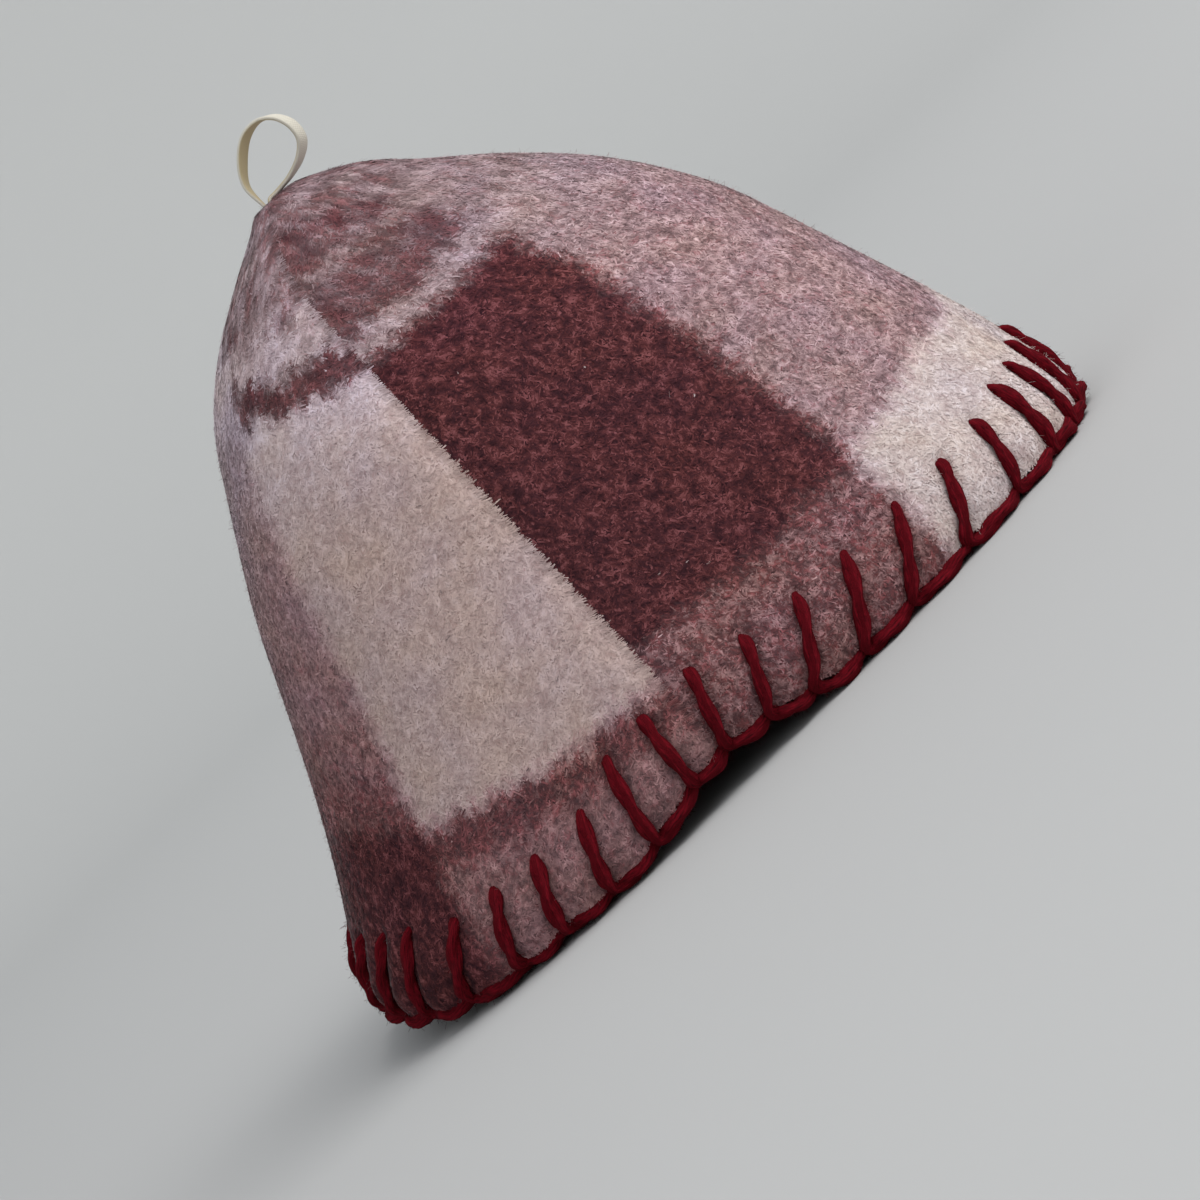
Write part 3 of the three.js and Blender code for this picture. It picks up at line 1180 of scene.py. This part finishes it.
@dataclass
class Gore:
    """One gore: the cloth's wall and the pile on its outer face, in millimetres and degrees.

    Press is how much of the lumps' height lifts the pile. Clear is how far its roots lie over the
    cloth, and tip_lift is the part of a fibre's lift that its tip has. Overhang is how far fibres
    may hang below the edge, each by its own share. Raised fibres get lighter tones of their own,
    painted light for the bright fuzz along the outline.
    """

    cloth: Cloth
    quarter: Quarter
    plaid: BlanketPlaid
    nap: Nap = Nap()
    tufts: SeamTufts = SeamTufts()
    melange: Melange = Melange()
    across_cells: int = 70
    up_cells: int = 92
    rounding: float = 0.9
    lumps: tuple[Lumps, ...] = (Lumps(1.3, 0.24, 3), Lumps(2.9, 0.32, 5))
    press: float = 0.3
    lump_shading: float = 0.9
    own_shading: float = 0.12
    roll: float = 8.0
    clear: float = 0.05
    tip_lift: Chance = Chance(0.3, 0.9)
    raised_lift: float = 0.7
    rim_light_tone: Chance = Chance(0.35, 0.55)
    overhang: float = 2.2
    overhang_share: Chance = Chance(0.2, 0.8)

    def flat(self, share: np.ndarray, turn: np.ndarray) -> np.ndarray:
        """Where places lie on the flat gore: towards the forehead and up, in millimetres."""
        inside = np.clip(turn - self.quarter.value, 0, 1) - 0.5
        across = inside * self.width(share) * self.quarter.forwards
        return np.stack([across, share * self.cloth.climb], axis=-1)

    def width(self, share: np.ndarray) -> np.ndarray:
        """The gore's width at shares of the way up, in millimetres."""
        return self.cloth.width(share, np.full(share.shape, self.quarter.value + 0.5))

    def wall(self) -> bpy.types.Object:
        """The cloth's wall, which stands for the gore's solid."""
        deselect_all()
        bpy.ops.mesh.primitive_grid_add(
            x_subdivisions=self.across_cells, y_subdivisions=self.up_cells, size=1
        )
        wall = added(f"felt_{self.quarter.name.lower()}")
        shares = points_of(wall.data)[:, :2] + 0.5
        turn, share = self.quarter.value + shares[:, 0], shares[:, 1]
        points, _ = self.cloth.spot(share, np.minimum(turn, self.quarter.value + 1 - 1e-9))
        set_points(wall.data, points * MM)
        for layer in list(wall.data.uv_layers):
            wall.data.uv_layers.remove(layer)
        flat = self.flat(share, turn)
        set_map(wall.data, CLOTH_MAP, flat * MM)
        set_map(wall.data, BAKE_MAP, flat / self.plaid.span + BAKE_SHIFT)
        thickness = self.cloth.bell.felt * MM
        finish_with(wall, "SOLIDIFY", thickness=thickness, offset=-1, use_even_offset=True)
        finish_with(
            wall,
            "BEVEL",
            width=self.rounding * MM,
            segments=2,
            limit_method="ANGLE",
            angle_limit=math.radians(60),
        )
        smooth(wall)
        wear(wall, self.plaid.backing(CUT_OF[self.quarter]))
        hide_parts(self.quarter.gore)
        return wall

    def lying(self, rng: np.random.Generator) -> Fibres:
        """The fibres that cover the gore evenly and lie down it towards the rim."""
        nap, count = self.nap, self.nap.count
        rows = np.linspace(0, 1, self.cloth.rows + 1)
        widths = self.cloth.widths[:, self.quarter.value]
        areas = running((widths[1:] + widths[:-1]) / 2)
        share = np.interp(rng.random(count), areas / areas[-1], rows)
        turn = self.quarter.value + rng.random(count)
        stray = rng.random(count) < nap.stray_share
        swirl = sum(swirl.at(share, turn) for swirl in nap.swirls)
        spread = np.interp(share, nap.spread_at, nap.spread)
        longer = np.interp(share, nap.long_rise, (1, nap.crown_length))
        return Fibres(
            share,
            turn,
            angle=np.radians(swirl + spread * rng.standard_normal(count)),
            length=nap.length
            * longer
            * np.where(stray, nap.stray_length, 1)
            * rng.lognormal(0, nap.unevenness, count),
            lift=np.where(stray, nap.stray_lift.draw(rng, count), nap.lift.draw(rng, count)),
            width=nap.width * nap.breadth.draw(rng, count) * np.where(stray, nap.stray_width, 1),
        )

    def over_seam(self, rng: np.random.Generator, side: int) -> Fibres:
        """The fibres of the tufts on one seam, which lie over it onto the next gore.

        Args:
            rng: the source of randomness.
            side: 0 for the seam where the gore begins, going round, and 1 for where it ends.

        Returns:
            The fibres.
        """
        tufts, climb = self.tufts, self.cloth.climb
        places = np.arange(tufts.first, tufts.last * climb, tufts.step)
        count = len(places) * tufts.fibres
        places = places + tufts.uneven * rng.standard_normal(len(places))
        middle = np.repeat(places, tufts.fibres)
        share = (middle + tufts.scatter * rng.standard_normal(count)) / climb
        inside = tufts.inset * rng.random(count)
        length = inside + tufts.reach * rng.random(count) ** 2
        inside = inside / self.width(share)
        lean = math.pi / 2 + tufts.spread * rng.standard_normal(count) - tufts.droop
        return Fibres(
            share,
            self.quarter.value + (1 - inside if side else inside),
            angle=lean if side else -lean,
            length=length,
            lift=tufts.lift.draw(rng, count),
            width=self.nap.width * tufts.breadth.draw(rng, count),
        )

    def tones(self, rng: np.random.Generator, corners: np.ndarray, share: np.ndarray) -> np.ndarray:
        """Two random shares for each fibre's corners, much alike for those that lie close together.

        Args:
            rng: the source of randomness.
            corners: the places on the flat gore of each fibre's four corners.
            share: the share of the way up of each fibre.

        Returns:
            The shares, evenly spread from 0 to 1, but for a few odd fibres of the other threads.
        """
        wool, count = self.melange, len(share)
        streaked = np.interp(share, wool.streak_rise, wool.streak_share)[:, None]
        columns = []
        for lot in (0, 1):
            fleck, cloud, streak = (
                replace(lumps, seed=lumps.seed + lot).at(corners / cell)
                for lumps, cell in (
                    (wool.fleck, 1.0),
                    (wool.cloud, 1.0),
                    (wool.streak, wool.streak_cell),
                )
            )
            mixed = (wool.fleck_weight - streaked) * fleck + streaked * streak + cloud
            mixed = mixed + wool.own * rng.random(count)[:, None]
            even = np.empty(mixed.size)
            even[np.argsort(mixed, axis=None)] = np.arange(mixed.size) / mixed.size
            columns.append(even.reshape(mixed.shape))
        odd = rng.random(count)[:, None]
        columns[0] = np.where(odd > 1 - wool.dark_odds, wool.always_dark, columns[0])
        columns[0] = np.where(odd < wool.pale_odds, wool.always_pale, columns[0])
        return np.stack(columns, axis=-1)

    def relief(self, flat: np.ndarray) -> tuple[np.ndarray, np.ndarray]:
        """The felted wool's lumps at places on the flat gore.

        Args:
            flat: the places, in millimetres.

        Returns:
            The height of the lumps at each place, and their slope towards the forehead and up.
        """
        step = 0.2
        here, ahead, above = (
            sum(lump.at(flat + shift) for lump in self.lumps)
            for shift in ((0, 0), (step, 0), (0, step))
        )
        return here, np.stack([ahead - here, above - here], axis=-1) / step

    def pile(self) -> bpy.types.Object:
        """The brushed fibres on the gore's outer face."""
        rng = np.random.default_rng(41 + self.quarter.value)
        parts = [self.lying(rng)]
        if CUT_OF[self.quarter] is Cut.PALE_BLOCK:
            parts += [self.over_seam(rng, side) for side in (0, 1)]
        fibres = Fibres.together(parts)
        count, climb, forwards = len(fibres.share), self.cloth.climb, self.quarter.forwards
        width = self.width(fibres.share)
        lowest = -self.overhang / climb * self.overhang_share.draw(rng, count)
        flat = self.flat(fibres.share, fibres.turn)
        pressed = self.relief(flat)[0] * self.press

        def along(part: float, height: np.ndarray) -> tuple[np.ndarray, np.ndarray, np.ndarray]:
            reach = fibres.length * part
            up = np.maximum(fibres.share - reach * np.cos(fibres.angle) / climb, lowest)
            turn = fibres.turn + reach * np.sin(fibres.angle) / width
            point, out = self.cloth.spot(up, turn)
            return point + out * height[:, None], out, self.flat(up, turn)

        root, out, flat_root = along(0, self.clear + pressed)
        tip, _, flat_tip = along(1, pressed + fibres.lift * self.tip_lift.draw(rng, count))
        way = unit(tip - root)
        roll = np.radians(self.roll * rng.standard_normal(count))[:, None]
        level = unit(np.cross(out, way))
        side = level * np.cos(roll) + np.cross(way, level) * np.sin(roll)
        half = (fibres.width / 2)[:, None]
        lying = unit(flat_tip - flat_root + (0.0, 1e-6))
        beside = np.stack([-lying[:, 1], lying[:, 0]], axis=-1) * half * forwards
        spots = [flat_root - beside, flat_root + beside, flat_tip - beside, flat_tip + beside]
        corners = np.stack(spots, axis=1)
        _, tilt = self.relief(corners)
        ahead = unit(np.cross((0.0, 0.0, 1.0), out)) * forwards
        upward = unit(np.cross(out, ahead)) * forwards
        slope = ahead[:, None] * tilt[..., :1] + upward[:, None] * tilt[..., 1:]
        own = unit(np.cross(way, side))[:, None] * self.own_shading
        shaded = unit(out[:, None] - slope * self.lump_shading + own).reshape(-1, 3)
        pile = flakes(f"pile_{self.quarter.name.lower()}", (root, tip), side * half, shaded)
        threads = self.tones(rng, corners, fibres.share)
        raised = fibres.lift > self.raised_lift
        # painted light: raised fibres skip the darkest tones, so the fuzz at the outline looks lit
        threads[raised, :, 1] = self.rim_light_tone.draw(rng, (raised.sum(), 1))
        set_map(pile.data, CLOTH_MAP, np.repeat(flat * MM, 4, axis=0))
        set_map(pile.data, THREAD_MAP, threads.reshape(-1, 2))
        set_map(pile.data, BAKE_MAP, own_cells(flat))
        wear(pile, self.plaid.fibres(CUT_OF[self.quarter]))
        return pile

    def build(self) -> list[bpy.types.Object]:
        """Makes the gore's pieces."""
        return [self.wall(), self.pile()]


# ---- Strands -------------------------------------------------------------------------------------


@dataclass(frozen=True)
class Strand:
    """A straight strand with closed ends, to be laid along any line."""

    rings: int
    sides: int

    def model(self, name: str) -> bpy.types.Object:
        """Models the straight strand: 1 long up Z, and 1 in radius."""
        deselect_all()
        bpy.ops.mesh.primitive_cylinder_add(
            vertices=self.sides, radius=1, depth=1, end_fill_type="NGON", calc_uvs=False
        )
        strand = added(name)
        bpy.ops.object.mode_set(mode="EDIT")
        bpy.ops.mesh.select_mode(type="EDGE")
        bpy.ops.mesh.select_all(action="DESELECT")
        bpy.ops.object.mode_set(mode="OBJECT")
        for edge in strand.data.edges:
            low, high = (strand.data.vertices[v].co.z for v in edge.vertices)
            edge.select = abs(high - low) > 0.5
        bpy.ops.object.mode_set(mode="EDIT")
        bpy.ops.mesh.subdivide(number_cuts=self.rings - 2)
        bpy.ops.object.mode_set(mode="OBJECT")
        return strand

    def lay(
        self,
        model: bpy.types.Object,
        name: str,
        line: np.ndarray,
        side: np.ndarray,
        section: np.ndarray,
    ) -> bpy.types.Object:
        """Copies the straight strand and lays the copy along a line.

        Args:
            model: the straight strand.
            name: the new piece's name.
            line: the places of the rings, in millimetres.
            side: the direction across the strand at each ring.
            section: for each ring and side, how far out the face is to the side and square to it.

        Returns:
            The piece.
        """
        piece = model.copy()
        piece.data = model.data.copy()
        piece.name = piece.data.name = name
        bpy.context.scene.collection.objects.link(piece)
        straight = points_of(piece.data)
        ring = np.rint((straight[:, 2] + 0.5) * (self.rings - 1)).astype(int)
        turn = np.arctan2(straight[:, 1], straight[:, 0]) / (2 * math.pi)
        facet = np.rint(turn * self.sides).astype(int) % self.sides
        way = unit(np.gradient(line, axis=0))
        across = unit(side - way * np.sum(side * way, axis=1, keepdims=True))
        other = np.cross(way, across)
        reach = section[ring, facet]
        points = line[ring] + across[ring] * reach[:, :1] + other[ring] * reach[:, 1:]
        set_points(piece.data, points * MM)
        arc = lengths_along(line) * MM
        set_map(piece.data, STRAND_MAP, np.stack([arc[ring], facet / self.sides], axis=-1))
        return piece


def even_line(knots: np.ndarray, count: int) -> np.ndarray:
    """A smooth line through its knots, given at evenly spaced places.

    Args:
        knots: the places that it goes through, with any further columns to carry along.
        count: how many places to give.

    Returns:
        The places, with the same columns.
    """
    at = running(np.sqrt(np.diff(lengths_along(knots[:, :3]))))
    dense = smooth_through(at, knots, np.linspace(0, at[-1], 40 * len(knots)))
    arc = lengths_along(dense[:, :3])
    even = np.linspace(0, arc[-1], count)
    return np.stack([np.interp(even, arc, column) for column in dense.T], axis=1)


def carried_side(line: np.ndarray, first: np.ndarray) -> np.ndarray:
    """A direction across a line, carried along it without turning about it.

    Args:
        line: the line's places.
        first: the direction at its start.

    Returns:
        The direction at each place.
    """
    way = unit(np.gradient(line, axis=0))
    side = [unit(first - way[0] * np.dot(first, way[0]))]
    for step in way[1:]:
        side.append(unit(side[-1] - step * np.dot(side[-1], step)))
    return np.array(side)


# ---- Blanket stitch ------------------------------------------------------------------------------


@dataclass(frozen=True)
class Fuzz:
    """Loose fibres on a strand, in millimetres, and how many stray further out than the rest.

    Depth is the share of the strand's radius where they start. Along, astray and the two lifts
    are the parts that they go with the strand, at random and outwards, and own_shading is how
    much their own direction turns their shading.
    """

    count: int = 460
    length: float = 1.5
    unevenness: float = 0.3
    width: float = 0.13
    depth: float = 0.9
    along: float = 0.8
    astray: float = 0.5
    lift: float = 0.3
    stray_lift: float = 0.8
    stray_share: float = 0.3
    own_shading: float = 0.2


@dataclass
class BlanketStitch:
    """Thick plied yarn over the cloth's edge, one strand for each stitch.

    A strand comes out of the cloth at the top of its leg, goes down to the edge, runs along under
    the edge to the next leg, tucks in behind it and goes up inside to the next leg's top. Sizes
    are in millimetres. Caught is how many rings at either end have no loose fibres, and fullness
    is a strand's own thickness, as a share of the radius.
    """

    cloth: Cloth
    yarn: CrimsonYarn
    radius: float = 2.4
    plies_apart: float = 0.36
    twist_length: float = 26.0
    twist_start: float = 11.0
    rise: float = 0.6
    rings: int = 64
    sides: int = 18
    caught: int = 2
    fullness: Chance = Chance(0.92, 0.2)
    loose: Fuzz = Fuzz()

    def knots(self, leg: Leg, ahead: Leg, fullness: float) -> np.ndarray:
        """The places that one strand goes through, in millimetres.

        Args:
            leg: the leg that it begins with.
            ahead: the next one.
            fullness: this strand's own thickness, as a share of the radius.

        Returns:
            X, Y, Z and the strand's share of its full thickness, a row for each place.
        """
        climb = self.cloth.climb
        rows = []

        def go(up: float, turn: float, out: float, thick: float) -> None:
            point, normal = self.cloth.spot(np.array(up / climb), np.array(turn))
            place = point + normal * out
            place[2] = max(place[2], self.radius * thick * fullness)
            rows.append([*place, thick * fullness])

        lean = leg.top - leg.base
        gap = ahead.base - leg.base
        tuck = 1 - leg.hang
        inside = -self.cloth.bell.felt - 0.6
        go(leg.height + 1.4, leg.top + lean * 0.04, -2.4, 0.55)
        go(leg.height + 0.4, leg.top, 0.2, 0.8)
        go(leg.height - 1.8, leg.base + lean * 0.94, 1.5, 0.95)
        for share in (0.7, 0.45, 0.22):
            go(leg.height * share, leg.base + lean * share, self.rise + 1.5, 1.0)
        go(2.4, leg.base + lean * 0.04, self.rise + 1.4, 1.0)
        go(-0.7, leg.base + gap * 0.015, 1.2 - tuck, 1.0)
        go(-2.4 + 1.5 * tuck, leg.base + gap * 0.1, 0.4 - 1.8 * tuck, 1.0)
        go(-2.3 + 1.2 * tuck, leg.base + gap * 0.35, 0.3 - 2.0 * tuck, 1.1)
        go(-2.4 + 1.2 * tuck, leg.base + gap * 0.6, 0.3 - 2.0 * tuck, 1.14)
        go(-2.2 + 1.0 * tuck, leg.base + gap * 0.88, -0.3 - 1.4 * tuck, 1.05)
        go(-2.3, leg.base + gap * 1.04, -2.0, 0.9)
        go(0.4, ahead.base + gap * 0.06, inside - 0.8, 0.85)
        next_lean = ahead.top - ahead.base
        for share in (0.35, 0.7):
            go(ahead.height * share, ahead.base + next_lean * share, inside - 1.0, 0.95)
        go(ahead.height - 1.5, ahead.base + next_lean * 0.95, inside - 0.4, 0.9)
        go(ahead.height + 1.0, ahead.top, inside + 2.0, 0.6)
        return np.array(rows)

    def section(self, thick: np.ndarray, arc: np.ndarray) -> np.ndarray:
        """The strand's face at each ring and side: two plies that turn about each other."""
        apart = self.plies_apart * self.radius
        ply = self.radius - apart
        angle = np.arange(self.sides) / self.sides * 2 * math.pi
        turn = angle[None, :] - (arc / self.twist_length * 2 * math.pi)[:, None]
        reach = apart * np.abs(np.cos(turn)) + np.sqrt(ply**2 - (apart * np.sin(turn)) ** 2)
        reach = reach * thick[:, None]
        return np.stack([reach * np.cos(angle), reach * np.sin(angle)], axis=-1)

    def fuzz(
        self, rng: np.random.Generator, line: np.ndarray, side: np.ndarray
    ) -> tuple[np.ndarray, ...]:
        """Loose fibres on one strand.

        Args:
            rng: the source of randomness.
            line: the strand's places and its thickness, a row each.
            side: the direction across the strand at each.

        Returns:
            The fibres' roots, tips, half widths and outward directions.
        """
        loose, count = self.loose, self.loose.count
        ring = rng.integers(self.caught, self.rings - self.caught, count)
        way = unit(np.gradient(line[:, :3], axis=0))[ring]
        across = side[ring]
        angle = 2 * math.pi * rng.random(count)[:, None]
        out = across * np.cos(angle) + np.cross(way, across) * np.sin(angle)
        root = line[ring, :3] + out * (self.radius * loose.depth * line[ring, 3])[:, None]
        length = loose.length * rng.lognormal(0, loose.unevenness, count)[:, None]
        stray = rng.random(count) < loose.stray_share
        lift = np.where(stray, loose.stray_lift, loose.lift)[:, None]
        astray = loose.astray * rng.standard_normal((count, 3))
        lean = unit(way * loose.along + astray + out * lift)
        half = unit(np.cross(out, lean)) * loose.width / 2
        return root, root + lean * length, half, unit(out + loose.own_shading * lean)

    def build(self) -> list[bpy.types.Object]:
        """Makes the whole row of stitches, which stands for the edging yarn's solid."""
        strand = Strand(self.rings, self.sides)
        model = strand.model("yarn_model")
        legs = self.cloth.legs()
        legs.append(replace(legs[0], base=legs[0].base + 4, top=legs[0].top + 4))
        rng = np.random.default_rng(7)
        fullness = self.fullness.draw(rng, len(legs))
        made, loose = [], []
        for i, (leg, ahead) in enumerate(zip(legs, legs[1:])):
            line = even_line(self.knots(leg, ahead, fullness[i]), self.rings)
            side = carried_side(line[:, :3], np.array([0.3, 0.2, 1.0]))
            section = self.section(line[:, 3], lengths_along(line[:, :3]) + self.twist_start * i)
            made.append(strand.lay(model, f"stitch_{i}", line[:, :3], side, section))
            loose.append(self.fuzz(rng, line, side))
        bpy.data.objects.remove(model)
        deselect_all()
        for stitch in made:
            stitch.select_set(True)
        bpy.context.view_layer.objects.active = made[0]
        bpy.ops.object.join()
        row = added("blanket_stitch")
        smooth(row)
        root, tip, half, out = (np.concatenate(part) for part in zip(*loose))
        fuzz = flakes("yarn_fuzz", (root, tip), half, np.repeat(out, 4, axis=0))
        places = np.repeat(rng.random((len(root), 2)), 4, axis=0)
        set_map(fuzz.data, STRAND_MAP, places * (0.5, 1.0))
        set_map(fuzz.data, BAKE_MAP, own_cells(root[:, :2]))
        material = self.yarn.material()
        for piece in (row, fuzz):
            wear(piece, material)
        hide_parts("rim_yarn")
        return [row, fuzz]


# ---- Hanging loop --------------------------------------------------------------------------------


@dataclass(frozen=True)
class LoopPoint:
    """A place on the loop's centre line, in millimetres from the crown, and the tape's turn."""

    x: float
    y: float
    z: float
    twist: float


@dataclass
class HangingLoop:
    """One length of flat tape, with both ends caught in the crown, in millimetres.

    The two bends are powers that make its section from round to square: the lower, the squarer.
    """

    tape: IvoryTape
    crown: tuple[float, float, float] = (1.5, 0.0, 216.0)
    width: float = 5.5
    thickness: float = 1.3
    width_bend: float = 0.35
    thickness_bend: float = 0.5
    rings: int = 120
    sides: int = 20
    points: tuple[LoopPoint, ...] = (
        LoopPoint(-0.8, 0, -14, 0),
        LoopPoint(-0.8, 0, -5, 0),
        LoopPoint(-0.8, 0, 0.5, 0),
        LoopPoint(-0.6, 0.6, 8.6, -15),
        LoopPoint(3.6, 0.2, 14.8, -28),
        LoopPoint(9.8, -0.8, 19.6, -24),
        LoopPoint(15.8, -1.9, 20.4, -4),
        LoopPoint(20.4, -2.8, 17.6, 16),
        LoopPoint(22.6, -3.2, 12.6, 30),
        LoopPoint(21.8, -2.6, 7.4, 30),
        LoopPoint(17.6, -1.0, 3.8, 18),
        LoopPoint(11.4, 0.8, 1.8, 6),
        LoopPoint(5.4, 1.4, 1.2, 0),
        LoopPoint(1.8, 0.8, 0.8, 0),
        LoopPoint(0.8, 0.2, -1.0, 0),
        LoopPoint(0.8, 0, -5, 0),
        LoopPoint(0.8, 0, -14, 0),
    )

    def section(self) -> np.ndarray:
        """The tape's face round its section: flat, with rounded edges."""
        angle = np.arange(self.sides) / self.sides * 2 * math.pi
        c, s = np.cos(angle), np.sin(angle)
        across = np.sign(c) * np.abs(c) ** self.width_bend * self.width / 2
        out = np.sign(s) * np.abs(s) ** self.thickness_bend * self.thickness / 2
        return np.stack([across, out], axis=-1)

    def build(self) -> list[bpy.types.Object]:
        """Makes the loop, which stands for its solid."""
        knots = np.array([astuple(point) for point in self.points])
        knots[:, :3] += self.crown
        line = even_line(knots, self.rings)
        way = unit(np.gradient(line[:, :3], axis=0))
        leftwards = np.array([0.0, 1.0, 0.0])
        level = unit(leftwards - way * (way @ leftwards)[:, None])
        twist = np.radians(line[:, 3])[:, None]
        side = level * np.cos(twist) + np.cross(way, level) * np.sin(twist)
        strand = Strand(self.rings, self.sides)
        model = strand.model("tape_model")
        section = np.broadcast_to(self.section(), (self.rings, self.sides, 2))
        loop = strand.lay(model, "tape_loop", line[:, :3], side, section)
        bpy.data.objects.remove(model)
        smooth(loop)
        wear(loop, self.tape.material())
        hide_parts("hanging_loop")
        return [loop]


# ---- Studio --------------------------------------------------------------------------------------


@dataclass(frozen=True)
class Lamp:
    """A soft square light, aimed at the hat."""

    name: str
    towards: tuple[float, float, float]
    distance: float
    size: float
    power: float
    colour: Colour = (1.0, 1.0, 1.0)


@dataclass
class Studio:
    """A plain pale bowl of a floor, soft light, and the camera.

    The floor's and the lamps' sizes are in metres, and the camera's aim and distance in
    millimetres.
    """

    sweep: PaleSweep
    target: tuple[float, float, float] = (-8.8, 0.0, 57.0)
    distance: float = 1000.0
    elevation: float = 6.0
    roll: float = 43.87
    lens: float = 96.0
    sensor: float = 36.0
    floor_radius: float = 1.7
    floor_sides: int = 96
    wall_rings: int = 12
    wall_bend: float = 1.3
    wall_turn: float = 80.0
    air: Colour = (0.93, 0.96, 1.0)
    ambient: float = 0.55
    lamps: tuple[Lamp, ...] = (
        Lamp("key", (0.62, -0.28, 0.78), 3.2, 2.4, 88.0, (1.0, 0.99, 0.98)),
        Lamp("fill", (-0.5, -1.0, 0.35), 3.0, 2.4, 9.0, (0.95, 0.97, 1.0)),
    )

    def camera(self) -> bpy.types.Object:
        """Sets the camera to one side of the hat, rolled so that the crown leans to the left."""
        tilt = math.radians(self.elevation)
        back = Vector((0, -math.cos(tilt), math.sin(tilt)))
        level_up = Vector((0, math.sin(tilt), math.cos(tilt)))
        roll = math.radians(self.roll)
        up = Vector((1, 0, 0)) * math.sin(roll) + level_up * math.cos(roll)
        right = up.cross(back)
        deselect_all()
        bpy.ops.object.camera_add()
        camera = bpy.context.object
        camera.name = "camera"
        turn = Matrix((right, up, back)).transposed().to_4x4()
        place = (Vector(self.target) + back * self.distance) * MM
        camera.matrix_world = Matrix.Translation(place) @ turn
        camera.data.lens = self.lens
        camera.data.sensor_width = self.sensor
        camera.data.clip_start, camera.data.clip_end = 0.05, 30.0
        bpy.context.scene.camera = camera
        return camera

    def floor(self) -> bpy.types.Object:
        """The floor, which bends up into a wall all round without a corner."""
        deselect_all()
        bpy.ops.mesh.primitive_circle_add(
            vertices=self.floor_sides, radius=self.floor_radius, fill_type="NGON"
        )
        floor = added("studio_floor")
        bpy.ops.object.mode_set(mode="EDIT")
        bpy.ops.mesh.select_all(action="SELECT")
        bpy.ops.mesh.region_to_loop()
        radius, height = self.floor_radius, 0.0
        for ring in range(1, self.wall_rings + 1):
            bend = ring / self.wall_rings * math.radians(self.wall_turn)
            new_radius = self.floor_radius + self.wall_bend * math.sin(bend)
            new_height = self.wall_bend * (1 - math.cos(bend))
            bpy.ops.mesh.extrude_edges_move(
                TRANSFORM_OT_translate={"value": (0, 0, new_height - height)}
            )
            factor = new_radius / radius
            bpy.ops.transform.resize(
                value=(factor, factor, 1), center_override=(0, 0, new_height)
            )
            radius, height = new_radius, new_height
        bpy.ops.mesh.select_all(action="SELECT")
        bpy.ops.mesh.normals_make_consistent(inside=True)
        bpy.ops.object.mode_set(mode="OBJECT")
        smooth(floor)
        floor.data.materials.append(self.sweep.material())
        return floor

    def lights(self) -> None:
        """Hangs the soft lights, and makes the air round the hat softly bright."""
        for lamp in self.lamps:
            away = Vector(lamp.towards).normalized()
            deselect_all()
            bpy.ops.object.light_add(type="AREA", location=away * lamp.distance)
            light = bpy.context.object
            light.name = lamp.name
            light.data.size = lamp.size
            light.data.energy = lamp.power
            light.data.color = lamp.colour
            light.rotation_mode = "QUATERNION"
            light.rotation_quaternion = away.to_track_quat("Z", "Y")
        world = bpy.data.worlds.new("soft_air")
        world.use_nodes = True
        air = world.node_tree.nodes["Background"]
        air.inputs["Color"].default_value = (*self.air, 1)
        air.inputs["Strength"].default_value = self.ambient
        bpy.context.scene.world = world
        bpy.context.scene.view_settings.view_transform = "Standard"

    def build(self) -> None:
        """Makes the studio."""
        self.camera()
        self.floor()
        self.lights()


# ---- Assembly ------------------------------------------------------------------------------------


def report(pieces: list[bpy.types.Object]) -> None:
    """Logs each piece with its triangles."""
    for piece in pieces:
        triangles = len(piece.data.loops) - 2 * len(piece.data.polygons)
        LOG.info("%s: %d triangles", piece.name, triangles)


def main() -> None:
    """Builds the studio and dresses the hat."""
    logging.basicConfig(level=logging.INFO, format="%(name)s %(message)s")
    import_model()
    Studio(PaleSweep()).build()
    cloth = Cloth(Bell(), StitchChart())
    plaid = BlanketPlaid()
    for quarter in Quarter:
        report(Gore(cloth, quarter, plaid).build())
    report(BlanketStitch(cloth, CrimsonYarn()).build())
    report(HangingLoop(IvoryTape()).build())


if __name__ == "__main__":
    main()
